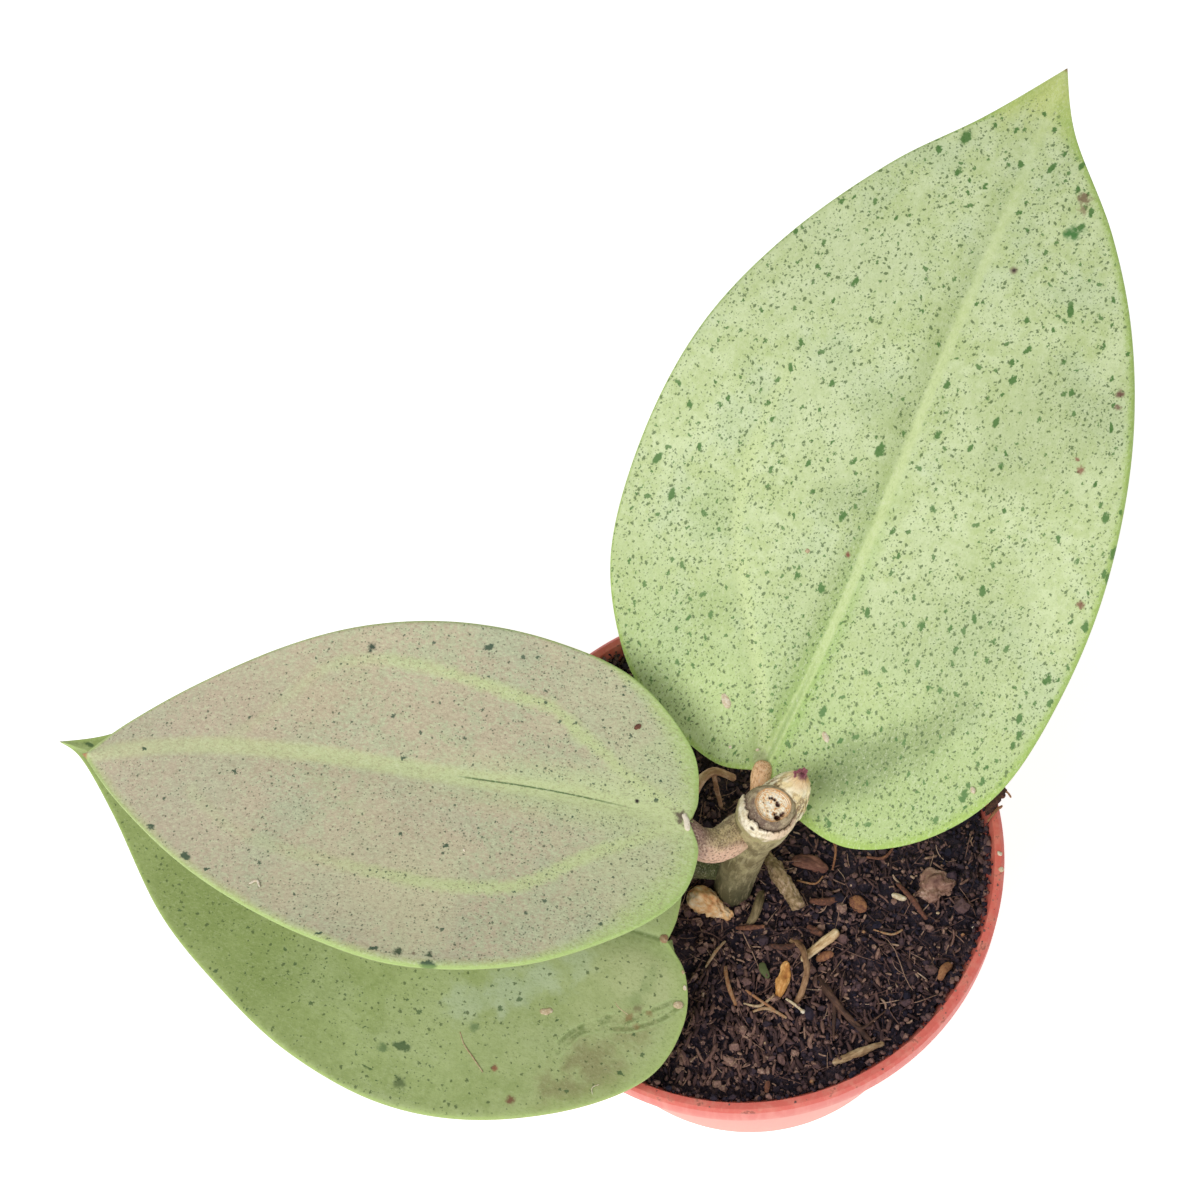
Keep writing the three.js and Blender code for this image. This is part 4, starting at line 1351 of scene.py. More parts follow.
def strew(name, count, least, most, pull, lightness, detail=1):
    """Crumbs on the soil: many near the least size, few near the most."""
    crumb = new_ball(name, detail)
    sizes = least + (most - least) * rng.random(count) ** pull
    x, y = soil_spots(count)
    shapes = crumb_shapes(crumb, (x, y), sizes)
    paler = 0.08 - 0.24 * x / SOIL_EDGE + 0.16 * np.exp(-(x ** 2 + (y + 8) ** 2) / 120)
    scattered(crumb, shapes, np.minimum(rng.random(count) ** lightness + paler, 0.9))
    finish_peat(crumb)


strew("peat_grit", 7000, 0.25, 0.75, 1.5, lightness=1.2)
strew("peat_crumbs", 1100, 0.6, 1.35, 2, lightness=1.05)
strew("peat_lumps", 50, 1.2, 1.9, 1.5, detail=2, lightness=1.4)


# %% Peat on the wall
def cling_to_wall(count):
    """Grit on the inside of the pot above the soil, thinning out towards the rim."""
    grit = new_ball("wall_peat", 1)
    sizes = 0.3 + 0.7 * rng.random(count) ** 2
    height = SOIL_EDGE_HEIGHT + 3.0 * rng.random(count) ** 1.7
    radius = np.array([pot_inside(z) for z in height]) - 0.35 * sizes
    radius = radius - 0.5 * rng.random(count) ** 3
    turn = 2 * np.pi * rng.random(count)
    shapes = crumb_shapes(grit, (radius * np.cos(turn), radius * np.sin(turn)), sizes)
    shapes[:, :, 2] += (height - shapes[:, :, 2].mean(axis=1))[:, None]
    scattered(grit, shapes, 0.85 * rng.random(count) ** 1.2)
    finish_peat(grit)


cling_to_wall(1900)

# %% [markdown]
# Fibres are slim four-sided rods with a few rings. A copy is stretched to its own length,
# bowed, turned about the upright and laid a little aslant, so that some stand out of the soil.


# %% Coir fibres
FIBRE_REACH = 31.5
ROD = [(-0.5, 0, 0), (0.5, 0, 0)]


def fibre_shapes(piece, spots, lengths, widths, stand, lean=None):
    rod = points_of(piece) / MM
    count = len(lengths)
    along, across = rod[:, 0], rod[:, 1:]
    bow = rng.normal(0, 0.3, (count, 2))
    twist = rng.normal(0, 0.09, (count, 2))
    curve = (along ** 2 - 0.08)[None, :, None] * bow[:, None, :]
    curve = curve + (along ** 3)[None, :, None] * 4 * twist[:, None, :]
    local = np.empty((count, len(rod), 3))
    local[:, :, 0] = along * lengths[:, None]
    local[:, :, 1:] = across * widths[:, None, None] + curve * lengths[:, None, None]
    heading, rise = 2 * np.pi * rng.random(count), rng.normal(0.05, stand, count)
    if lean is not None:
        heading = rng.normal(lean, 0.45, count)
    flat = local[:, :, 0] * np.cos(rise)[:, None] - local[:, :, 2] * np.sin(rise)[:, None]
    tall = local[:, :, 0] * np.sin(rise)[:, None] + local[:, :, 2] * np.cos(rise)[:, None]
    turned_x = flat * np.cos(heading)[:, None] - local[:, :, 1] * np.sin(heading)[:, None]
    turned_y = flat * np.sin(heading)[:, None] + local[:, :, 1] * np.cos(heading)[:, None]
    x, y = spots
    reach = np.hypot(x[:, None] + turned_x, y[:, None] + turned_y)
    fit = np.minimum(1, ROD_LIMIT / reach)
    return np.stack([(x[:, None] + turned_x) * fit, (y[:, None] + turned_y) * fit,
                     soil_top(x, y)[:, None] + 0.35 + tall], -1)


def lay_fibres(name, count, shortest, longest, widths, lightness, stand=0.2):
    rod = grow(name, ROD, [0.5, 0.5], sides=4, rings=8, blunt=0.3)
    lengths = shortest + (longest - shortest) * rng.random(count) ** 2
    shapes = fibre_shapes(rod, soil_spots(count, FIBRE_REACH), lengths,
                          widths[0] + (widths[1] - widths[0]) * rng.random(count), stand)
    scattered(rod, shapes, 0.15 + 0.75 * rng.random(count) ** lightness)
    finished(rod, earthy(name + "_finish", FIBRE_STOPS), "soil", "soil")


FIBRE_STOPS = [(0, (50, 38, 42)), (0.4, (92, 68, 66)), (0.65, (134, 102, 92)),
               (0.85, (174, 142, 122)), (1, (208, 184, 162))]
lay_fibres("coir_fibres", 800, 1.8, 8.5, (0.06, 0.17), 1.8)
lay_fibres("peat_splinters", 1700, 0.7, 2.4, (0.16, 0.42), 2.2, stand=0.6)


def lay_tufts(count):
    """Short reddish tufts that all point one way, near the front of the pot."""
    rod = grow("peat_tufts", ROD, [0.5, 0.6, 0.35], sides=5, rings=8, blunt=0.4)
    x, y = rng.normal(-3, 10, count), rng.normal(-23, 5, count)
    near = np.hypot(x, y) < 31
    x, y = x[near], y[near]
    shapes = fibre_shapes(rod, (x, y), 1.2 + 1.6 * rng.random(len(x)),
                          0.3 + 0.28 * rng.random(len(x)), stand=0.5, lean=1.5)
    scattered(rod, shapes, 0.18 + 0.5 * rng.random(len(x)) ** 1.2)
    finished(rod, earthy("peat_tufts_finish", FIBRE_STOPS), "soil", "soil")


lay_tufts(330)

# %% [markdown]
# ## What lies on the soil
#
# The bits on the soil are old root, straw, bark and husk. Each one follows the same course
# as its solid. A flat one is squashed, a corky one is lumpy, and a root is fine and creased.

# %% Bits with a place of their own
BITS = {
    "corky_stub": dict(
        path=[(-7.7, -4.2, 59.6), (-6.2, -5.5, 59.2), (-4.5, -6.8, 58.4), (-2.9, -8, 57.4)],
        radii=[1.4, 1.65, 1.5, 0.9, 0.4], lumps=(1, 0.65), grit=(0.35, 0.25), slot="cork"),
    "old_stub": dict(
        path=[(3.2, -0.2, 56.4), (4.2, -3.2, 58.6), (5.2, -6.4, 59.4), (6.1, -9.1, 59.6)],
        radii=[0.75, 0.85, 0.95, 1, 1.05, 0.95], lumps=(1, 0.3), grit=(0.35, 0.2), slot="old_bark",
        blunt=0.3),
    "olive_twig": dict(
        path=[(1.9, -5.2, 56.6), (1.1, -6.8, 58.2), (0.2, -8.6, 58.4), (-1, -9.6, 57.2)],
        radii=[0.45, 0.6, 0.6, 0.4], lumps=(0.9, 0.12), grit=(0.3, 0.04), slot="old_bark"),
    "straw": dict(
        path=[(5, -15.6, 57.8), (7.8, -14.3, 58.2), (10.6, -12.9, 58.6)],
        radii=[0.5, 0.65, 0.6], lumps=(0.9, 0.1), grit=(0.25, 0.05), slot="dry_fibre", squash=0.7),
    "orange_flake": dict(
        path=[(3.2, -15.6, 58.4), (2.4, -17.4, 58.1), (1.5, -19, 57.8), (0.8, -20.4, 57.3)],
        radii=[0.35, 0.85, 0.7, 0.3], lumps=(0.7, 0.3), grit=(0.3, 0.1), slot="cork", squash=0.45),
    "curled_root": dict(
        path=[(4.2, -12.6, 57), (5.4, -14.2, 58.6), (5.4, -17.4, 59.6), (4.2, -20, 58.6),
              (2.6, -21.4, 57)],
        radii=[0.45, 0.4, 0.4, 0.35], lumps=(0.8, 0.08), grit=(0.2, 0.03), slot="dry_fibre"),
    "dark_root": dict(
        path=[(6.8, -17.8, 56.4), (7.5, -20.4, 58.2), (8.9, -23.2, 57.9), (10.4, -25.6, 57.6),
              (11.8, -27.9, 56.8)],
        radii=[0.5, 0.5, 0.4, 0.35], lumps=(0.8, 0.1), grit=(0.25, 0.04), slot="dark_bark",
        branches=[([(8.3, -21.7, 58), (7.6, -24.3, 57.9), (7, -26.9, 57.4)], [0.28, 0.22, 0.12]),
                  ([(9.1, -23.6, 57.9), (10.6, -26, 57.9), (12.6, -25.4, 58), (14.5, -24.4, 57.6)],
                   [0.26, 0.2, 0.14, 0.1])]),
    "rim_root": dict(
        path=[(6.3, -29.6, 56.8), (8.6, -29.4, 57.6), (11, -28.9, 57.6), (13.4, -28.4, 57)],
        radii=[0.35, 0.5, 0.5, 0.3], lumps=(0.9, 0.16), grit=(0.25, 0.08), slot="dry_fibre"),
    "bark_chip": dict(
        path=[(22.2, -9.6, 57.4), (24.4, -9.3, 58), (26.9, -9.3, 57.5)],
        radii=[1.0, 2, 1.7, 1.3], lumps=(1.3, 0.9), grit=(0.4, 0.35), slot="dark_bark", squash=0.32),
    "red_bark": dict(
        path=[(6.6, -1.9, 57.4), (8.8, -2.8, 57.8), (11, -4.2, 57.4)],
        radii=[0.6, 1, 0.9, 0.5], lumps=(1, 0.2), grit=(0.3, 0.06), slot="dark_bark", squash=0.6),
    "dry_root": dict(
        path=[(-6.8, 3.6, 55), (-6, 5.6, 62), (-4.2, 8, 66), (-1.7, 9.5, 66.6), (1.2, 8.4, 65.2)],
        radii=[0.5, 0.6, 0.65, 0.7, 0.6, 0.45], lumps=(0.9, 0.1), grit=(0.25, 0.04), slot="dry_fibre",
        branches=[([(-1.6, 9.4, 66.4), (-1.5, 8.4, 62), (-1.3, 7.6, 58), (-1.2, 7.2, 54.6)],
                   [0.35, 0.32, 0.3])]),
}
BIT_FINISHES = {
    "corky_stub": streaky("cork", (222, 152, 96), (248, 202, 146), (255, 236, 206),
                          size=0.7, longer=1.2, depth=0.2),
    "old_stub": streaky("old_stub_bark", (108, 88, 64), (166, 140, 104), (222, 192, 166),
                        size=0.4, longer=1.6, depth=0.2),
    "olive_twig": streaky("olive_bark", (82, 70, 52), (128, 112, 82), (172, 152, 116)),
    "straw": streaky("straw_fibre", (164, 124, 84), (214, 182, 138), (238, 216, 178),
                     size=0.35, longer=12),
    "orange_flake": streaky("husk", (160, 98, 52), (208, 150, 84), (234, 190, 130), longer=6),
    "curled_root": streaky("brown_root", (96, 68, 50), (152, 116, 86), (196, 162, 126)),
    "dark_root": streaky("dark_root_bark", (50, 36, 32), (84, 60, 50), (122, 90, 72)),
    "rim_root": streaky("pale_root", (126, 98, 70), (176, 146, 110), (212, 188, 152)),
    "bark_chip": streaky("brown_bark", (108, 76, 68), (156, 120, 104), (196, 164, 148),
                         size=0.7, longer=1.6, depth=0.3),
    "red_bark": streaky("red_bark_skin", (72, 46, 42), (116, 76, 64), (156, 112, 94)),
    "dry_root": streaky("dry_root_bark", (136, 96, 74), (194, 150, 116), (232, 198, 164)),
}


def grow_bit(name, bit):
    shape = {key: bit[key] for key in ("squash", "blunt") if key in bit}
    parts = [grow(name + "_rough", bit["path"], bit["radii"], sides=40, rings=90, **shape)]
    for path, radii in bit.get("branches", []):
        parts.append(grow(name + "_branch", path, radii, sides=16, rings=50))
    for seed, part in enumerate(parts):
        share = 1 if seed == 0 else 0.5
        for key, longer, more in (("lumps", 2, len(name)), ("grit", 3, 0)):
            size, depth = bit[key]
            roughen(part, size, share * depth, seed + more, longer)
    return joined(name + "_rough", parts)


for name, bit in BITS.items():
    finished(grow_bit(name, bit), BIT_FINISHES[name], bit["slot"], name)

# %% [markdown]
# Smaller scraps fill the soil between them: reddish sticks, chips, pale grains, a scrap of
# green leaf and a white-tipped fibre. They are one piece, and a tint gives each its colour.

# %% Scraps and grains
# A course in mm from above, the radius in mm, how flat it is, and its tint.
SCRAPS = [
    ([(19.7, -7.9), (21.1, -10.6), (22.4, -13.5)], 0.34, 1, 0.30),
    ([(18.6, -9.3), (20.3, -10.4)], 0.42, 0.9, 0.82),
    ([(7.7, -8), (9.6, -8.6), (11.6, -8.5)], 0.5, 0.6, 0.30),
    ([(13.2, -8.6), (14.8, -10.6)], 0.95, 0.45, 0.40),
    ([(6.7, -11.2), (8.5, -12.9)], 0.5, 0.7, 0.28),
    ([(7, -15.8), (9.4, -15.6)], 0.62, 0.5, 0.42),
    ([(-0.2, -14.9), (-0.1, -16), (0.3, -17.1)], 0.55, 0.35, -0.15),
    ([(2, -20.3), (3, -21.4), (3.9, -22.4)], 0.2, 1, 0.78),
    ([(3.7, -22.1), (4, -22.6)], 0.3, 1, 0.90),
    ([(-7.6, -14.1), (-5.8, -12.4), (-4.3, -11.1)], 0.22, 0.8, 0.62),
    ([(-5, -14.4), (-5.1, -17.1), (-4.6, -19.9)], 0.3, 0.8, 0.52),
    ([(-2.5, -30.4), (-3, -32)], 0.36, 0.6, 0.34),
    ([(24.4, -19.8), (23.1, -20.6), (22.3, -21.8)], 0.6, 0.4, 0.46),
    ([(25.4, -21.6), (24.1, -22.9), (22.9, -24.1)], 0.16, 1, 0.66),
    ([(25, -20.8), (25.6, -22.4), (24.4, -23.2), (24.2, -21.8)], 0.14, 1, 0.7),
    ([(6.7, -4.9), (8.9, -5.9), (10.2, -5)], 0.14, 1, 0.5),
    ([(-2.6, -9.6), (-0.8, -10.2), (1.2, -10.4)], 0.34, 0.8, 0.34),
    ([(5.8, -13.1), (3.6, -13.6), (1.2, -12.9)], 0.42, 0.7, 0.22),
    ([(-3, -18.2), (-1.4, -19.9), (0.3, -21.6)], 0.2, 1, 0.5),
    ([(-2.6, -21), (-0.6, -21.2), (1.6, -22.9)], 0.24, 0.8, 0.6),
    ([(-3.6, -19.8), (-1.6, -20.6), (0.6, -19.6)], 0.18, 1, 0.66),
    ([(15.2, -13.4), (17.4, -14.6), (19, -14.2)], 0.16, 1, 0.56),
    ([(16.4, -3.6), (18.6, -4.2), (20.4, -2.8)], 0.2, 1, 0.34),
    ([(11.8, 1.4), (12.6, -1.6), (11.6, -4.4)], 0.17, 1, 0.42),
]
GRAINS = [(10.2, -3.5, 0.8, 0.86), (28.3, -15.6, 0.5, 0.9), (26.6, -16.4, 0.55, 0.5),
          (28.7, -17.5, 0.4, 0.8), (24.1, -12.8, 0.5, 0.7), (3.1, -31.6, 0.6, 0.5),
          (25.6, -9.6, 0.6, 0.76), (13.9, -13.4, 0.5, 0.5), (-1.8, -25.5, 0.45, 0.62)]
SCRAP_STOPS = [(0, (92, 100, 64)), (0.1, (52, 42, 42)), (0.22, (86, 60, 52)),
               (0.34, (122, 80, 66)), (0.48, (166, 116, 80)), (0.62, (172, 144, 114)),
               (0.8, (214, 194, 160)), (0.92, (238, 228, 208))]


# How high a scrap's points lie above the soil: its ends dip into it.
SCRAP_RISE = [0.5, 1, 0.85, 0.55]


def tinted(piece, tint):
    write(piece, "tint", np.full(len(piece.data.vertices), tint))
    return piece


def lay_scrap(number, course, radius, squash, tint):
    path = [(x, y, soil_top(x, y) + rise) for (x, y), rise in zip(course, SCRAP_RISE)]
    scrap = grow(f"scrap_{number}", path, [0.75 * radius, radius, 0.7 * radius], sides=14,
                 rings=26, squash=squash)
    roughen(scrap, 0.8, 0.22 * radius, number, longer=2.5)
    return tinted(scrap, tint)


def lay_grain(number, x, y, size, tint):
    grain = new_ball(f"grain_{number}", 3, size)
    ball = points_of(grain) / MM
    uneven = 1 + 0.3 * cloud(ball / size * 2 + 11 * number)
    set_points(grain, (ball * uneven[:, None] * (1, 0.8, 0.8)
                       + (x, y, soil_top(x, y) + 0.6)) * MM)
    return tinted(grain, tint)


scraps = [lay_scrap(i, *scrap) for i, scrap in enumerate(SCRAPS)]
grains = [lay_grain(i, *grain) for i, grain in enumerate(GRAINS)]
finished(joined("soil_scraps", scraps + grains), earthy("scrap_finish", SCRAP_STOPS),
         "dry_fibre", "soil")

# %% [markdown]
# Grit sticks to the pot's mouth as well, most of it on the right, where the pot was filled.


# %% Grit on the rim
RIM_GRIT_FROM, RIM_GRIT_TOP = POT_RIM - 1.4, POT_HEIGHT + 0.02


def grit_the_rim(count):
    grit = new_ball("rim_grit", 1)
    ball = points_of(grit) / MM
    near_right = rng.normal(-0.35, 0.5, count // 2)
    turn = np.append(near_right, 2 * np.pi * rng.random(count - count // 2))
    radius = RIM_GRIT_FROM + rng.random(count)
    sizes = 0.12 + 0.4 * rng.random(count) ** 3
    lumps = 1 + 0.5 * (rng.random((count, len(ball), 1)) - 0.5)
    local = np.einsum("nij,nvj->nvi", random_turns(count), ball * lumps) * sizes[:, None, None]
    around = radius * np.cos(turn), radius * np.sin(turn), np.full(count, RIM_GRIT_TOP)
    shapes = local + np.column_stack(around)[:, None, :]
    scattered(grit, shapes, 0.5 + 0.5 * rng.random(count) ** 0.6)
    finish_peat(grit)


grit_the_rim(60)
# Larger scraps that hang on the mouth: a course in mm, the radius, how flat, and the tint.
RIM_SCRAPS = [
    ([(33.2, -1.4, 59.6), (34.3, -0.4, 60.5), (35.4, 0.7, 60.6), (36.3, 1.4, 60.2)], 0.62, 0.8, 0.2),
    ([(33.2, 0.6, 59.8), (34.5, 0.7, 60.6), (36, 0.3, 60.4)], 0.5, 0.8, 0.26),
    ([(33.8, 1.2, 60.1), (35.2, 1.4, 60.7), (36.4, 0.8, 60.5), (36.8, 0, 60.2)], 0.16, 1, 0.5),
    ([(33, -2.6, 59.8), (34.2, -1.6, 60.6), (35.4, -0.9, 60.4)], 0.2, 1, 0.44),
    ([(34.4, 1.8, 60.2), (35.6, 2.2, 60.4), (36.6, 2.6, 60)], 0.12, 1, 0.6),
    ([(33.5, -6.9, 60.1), (33.7, -7.5, 60.15)], 0.34, 0.6, 0.86),
    ([(33.3, -9, 60.1), (33.2, -9.7, 60.1)], 0.36, 0.6, 0.8),
]


def hang_on_rim(number, path, radius, squash, tint):
    scrap = grow(f"rim_scrap_{number}", path, [0.6 * radius, radius, 0.8 * radius], sides=18,
                 rings=30, squash=squash)
    roughen(scrap, 0.6, 0.5 * radius, number)
    return tinted(scrap, tint)


rim_scraps = [hang_on_rim(i, *scrap) for i, scrap in enumerate(RIM_SCRAPS)]
finished(joined("rim_scraps", rim_scraps), earthy("rim_scrap_finish", SCRAP_STOPS),
         "dry_fibre", "soil")

# %% [markdown]
# ## The stem and its cut
#
# The stem is olive and a little lumpy. It swells below the cut, where two leaves and a bud
# leave it. The cut itself is a turned form: soft cream pith inside two thin orange rings,
# then a smooth grey shoulder that rolls down to a skirt of torn bark.

# %% The stem
STEM_PATH = [(-4.4, -5.2, 40), (-2, -4, 57), (-0.3, -3.4, 67.5), (1.1, -3, 74.5), (3.4, -2.8, 85),
             (4, -2.8, 87)]
STEM_RADII = [1.9, 2.3, 2.5, 2.6, 2.6, 2.55, 2.55, 2.55, 2.55, 2.55, 2.6, 2.65, 2.75, 3, 3.5,
              3.5, 2.6]
CUT_AT, CUT_LEAN = Vector((4.15, -2.8, 88)), Vector((0.24, -0.02, 1)).normalized()


def stem_finish():
    paint = Finish("olive_stem")
    skin, place = paint.attribute("skin", "Vector"), paint.parts(paint.place())
    height = place["Z"]
    streaks = paint.noise(paint.stretch(skin, (1, 1, 0.12)), 0.5 * MM, detail=3.0, roughness=0.6)
    mottle = paint.noise(paint.stretch(skin, (1, 1, 0.5)), 1.6 * MM, detail=4.0, roughness=0.65)
    stipple = paint.noise(skin, 0.3 * MM, detail=1.0)
    # Painted light on the right side of the upper stem, and painted shade on the stem below the leaves.
    lit = paint.ease(place["X"] + streaks.sway(2 * MM), 3.5 * MM, 5.6 * MM)
    green = paint.over(
        (126, 114, 80),
        (paint.ease(mottle, 0.38, 0.62), (176, 164, 122)),
        (paint.ease(height, 73 * MM, 59 * MM) * 0.85, (84, 84, 58)),
        (paint.ease(streaks, 0.52, 0.66) * 0.5, (198, 186, 146)),
        (lit * 0.6 * paint.ease(height, 62 * MM, 70 * MM), (214, 206, 170)),
        (paint.ease(stipple, 0.56, 0.68) * 0.5, (92, 78, 58)))
    bumped = paint.bump(streaks * 0.5 + mottle * 0.5 + stipple * 0.15, 0.25 * MM, 0.8)
    return paint.coat(green, 0.6 + mottle * 0.2, bumped, 0.35)


stem = grow("stem_shaft", STEM_PATH, STEM_RADII, sides=72, rings=220, blunt=0.35)
roughen(stem, 3.5, 0.14, 1, longer=2.0)
roughen(stem, 0.9, 0.07, 2, longer=4.0)
finished(stem, stem_finish(), "stem_skin", "stem")


# %% The cut
def about_cut(places):
    """Turns places in mm, made about the upright, to the lean of the cut."""
    turn = np.array(Vector((0, 0, 1)).rotation_difference(CUT_LEAN).to_matrix())
    return places @ turn.T + np.array(CUT_AT)


# Holes in the pith: place from the middle in mm, radius, depth.
PITH_HOLES = [(-0.1, 1, 0.2, 0.25), (0.2, 0.98, 0.2, 0.3), (0.5, 0.75, 0.22, 0.3),
              (0.75, 0.35, 0.2, 0.25), (0.72, 0.02, 0.28, 0.4), (0.32, -1.72, 0.36, 0.8),
              (0.95, -1.4, 0.3, 0.3), (1.2, -1.15, 0.22, 0.25), (0.1, -1.15, 0.2, 0.25),
              (0.35, -1.1, 0.16, 0.2), (-0.7, -0.6, 0.13, 0.15), (-1, 0.5, 0.12, 0.15)]
# From the middle of the pith out over the shoulder and back in beneath it: radius and rise.
CUT_PROFILE = [(0, -0.25), (1, -0.22), (1.75, -0.16), (1.95, 0), (2.05, -0.1), (2.2, 0.1),
               (2.35, 0.06), (2.6, -0.14), (2.9, -0.7), (3.15, -1.5), (3.3, -2.4), (3, -3),
               (0, -3.2)]


def turn_cut():
    """A grid wrapped round an axis, with its rows along a profile."""
    cut = new_grid("cut_face", 144, 150)
    grid = points_of(cut)
    around, share = np.pi * grid[:, 0], (grid[:, 1] + 1) / 2
    radius, rise = smooth_line(CUT_PROFILE, share).T
    radius = np.maximum(radius, 0)
    x, y = radius * np.cos(around), radius * np.sin(around)
    out_of_round = 1 + 0.03 * np.cos(2 * around + 0.6) + 0.02 * np.cos(3 * around)
    flat = np.column_stack([x * out_of_round, y * out_of_round, rise])
    hole = np.max([np.exp(-(np.hypot(x - hx, y - hy) / size) ** 4) * depth
                   for hx, hy, size, depth in PITH_HOLES], axis=0) * (rise > -1)
    flesh = np.clip((1.9 - radius) / 0.3, 0, 1) * (rise > -1)
    flat[:, 2] += 0.1 * flesh * cloud(flat * 1.8) + 0.07 * flesh * cloud(flat * 5 + 3) - hole
    write(cut, "skin", np.column_stack([x, y, rise]) * MM)
    write(cut, "hole", np.clip(hole * 4, 0, 1))
    set_points(cut, about_cut(flat) * MM)
    merge_seam(cut)
    return cut


PITH_STOPS = [(0.32, (180, 108, 60)), (0.4, (244, 194, 138)), (0.48, (255, 238, 202)),
              (0.6, (255, 250, 234))]
# The thin orange rings round the pith: radius and width in mm.
CUT_RINGS = [(1.8, 0.03), (2, 0.03), (2.18, 0.06)]


def cut_finish():
    paint = Finish("cut_pith_and_shoulder")
    skin = paint.attribute("skin", "Vector")
    parts = paint.parts(skin)
    ring = paint.vector("LENGTH", paint.stretch(skin, (1, 1, 0)))["Value"]
    wobble = paint.noise(skin, 0.9 * MM, detail=3.0)
    flesh = paint.noise(skin, 0.5 * MM, detail=4.0, roughness=0.65, distortion=0.8)
    stipple = paint.noise(skin, 0.2 * MM, detail=1.0)
    pith = paint.over(paint.ramp(flesh, PITH_STOPS),
                      (paint.ease(ring, 1.3 * MM, 2 * MM) * 0.35, (226, 182, 122)),
                      (paint.attribute("hole"), (72, 36, 28)))
    purple = parts["X"] + parts["Y"] * 0.7 + wobble.sway(3 * MM)
    grey = paint.over(
        (146, 128, 100),
        (paint.ease(wobble, 0.4, 0.62), (186, 168, 136)),
        (paint.ease(parts["Z"], -0.4 * MM, -1.6 * MM) * 0.5, (122, 102, 82)),
        (paint.ease(purple, 0, -3.5 * MM) * 0.65, (98, 74, 72)),
        (paint.ease(stipple, 0.56, 0.7) * 0.4, (206, 192, 168)),
        (paint.ease(stipple, 0.42, 0.32) * 0.4, (86, 68, 56)))
    edge = ring + wobble.sway(0.3 * MM)
    colour = paint.mix(paint.ease(edge, 2.15 * MM, 2.3 * MM), pith, grey)
    for radius, width in CUT_RINGS:
        band = paint.ease(abs(edge - radius * MM), width * MM * 1.8, width * MM * 0.5)
        colour = paint.mix(band * 0.7 * (parts["Z"] > -MM), colour, (196, 144, 84))
    bumped = paint.bump(flesh * 0.6 + stipple * 0.3, 0.15 * MM, 0.8)
    return paint.coat(colour, 0.62 + stipple * 0.15, bumped, 0.35)


finished(turn_cut(), cut_finish(), "stem_skin", "stem")


# %% The torn bark below the cut
BARK_LOW, BARK_ROUND, BARK_THICKNESS = -4.4, 3.7, 0.26
# The radius of the shoulder at heights below the cut, in mm.
SHOULDER_RISES, SHOULDER_RADII = [BARK_LOW, -2.4, -1.5, -0.7, 0], [3.62, 3.56, 3.36, 3.1, 2.8]


def tear_bark():
    """A thin sheet bent round the shoulder, with a ragged upper edge."""
    bark = new_grid("torn_bark", 160, 24)
    grid = points_of(bark)
    turn = np.radians(-95 + 132 * grid[:, 0])
    share = (grid[:, 1] + 1) / 2
    circle = np.column_stack([np.cos(turn), np.sin(turn), 0 * turn])
    wavy, ragged = cloud(circle * 2.4 + 5), cloud(circle * 9 + 2)
    at_ends = np.clip((1 - np.abs(grid[:, 0])) / 0.3, 0, 1)
    patch = np.exp(-(np.degrees(turn) + 141) ** 2 / 26 ** 2)
    top = -1.15 + 0.6 * wavy + 0.25 * ragged + 0.8 * patch - 1.8 * (1 - at_ends) ** 2
    rise = BARK_LOW + (top - BARK_LOW) * share
    radius = np.interp(rise, SHOULDER_RISES, SHOULDER_RADII)
    radius += 0.06 * wavy + 0.3 * patch * share
    upright = np.column_stack([0 * turn, 0 * turn, rise])
    set_points(bark, about_cut(circle * radius[:, None] + upright) * MM)
    write(bark, "skin", (circle * BARK_ROUND + upright) * MM)
    write(bark, "share", share)
    in_edit(bark, face_out)
    modify(bark, "SOLIDIFY", thickness=BARK_THICKNESS * MM, offset=0.0)
    modify(bark, "SUBSURF", levels=1, render_levels=1)
    roughen(bark, 0.9, 0.1, 4)
    return bark


BARK_PIT = -2.88 * MM, -2.33 * MM, -1.4 * MM


def torn_bark_finish():
    paint = Finish("torn_bark_cream")
    skin, share = paint.attribute("skin", "Vector"), paint.attribute("share")
    soft = paint.noise(skin, 1.2 * MM, detail=4.0, roughness=0.65)
    fine = paint.noise(paint.stretch(skin, (1, 1, 0.3)), 0.3 * MM, detail=2.0)
    pinkish = paint.ease(paint.parts(skin)["X"] + soft.sway(3 * MM), -2 * MM, 0.5 * MM)
    pit = paint.ease(paint.distance(skin, BARK_PIT), 0.5 * MM, 0.15 * MM)
    cream = paint.over(
        (226, 210, 178),
        (paint.ease(soft, 0.38, 0.62), (252, 243, 220)),
        (pinkish * 0.6, (226, 190, 158)),
        (paint.ease(share + soft.sway(0.7), 0.6, 0.25), (166, 156, 112)),
        (paint.ease(fine, 0.54, 0.66) * 0.35, (150, 122, 92)),
        (pit, (88, 72, 54)),
        (paint.ease(share + fine.sway(0.1), 0.96, 1) * 0.5, (128, 102, 78)))
    return paint.coat(cream, 0.7, paint.bump(soft + fine * 0.4, 0.2 * MM, 0.8), 0.3)


finished(tear_bark(), torn_bark_finish(), "stem_skin", "stem")

# %% [markdown]
# ## The bud
#
# The bud leans over the shoulder of the cut. Cream ridges run up it and close in on a blunt
# purple tip, which is a tuft of small withered scales.

# %% The bud
BUD_PATH = [(3.4, -2.4, 82), (5.4, -1.4, 83.6), (7.3, -0.5, 86), (8.7, 0.1, 88.5)]
BUD_RADII = [2.2, 2.9, 3.1, 3, 2.7, 2.1, 1.3, 0.7]
BUD_RIDGES, RIDGE_RISE = 17, 0.05


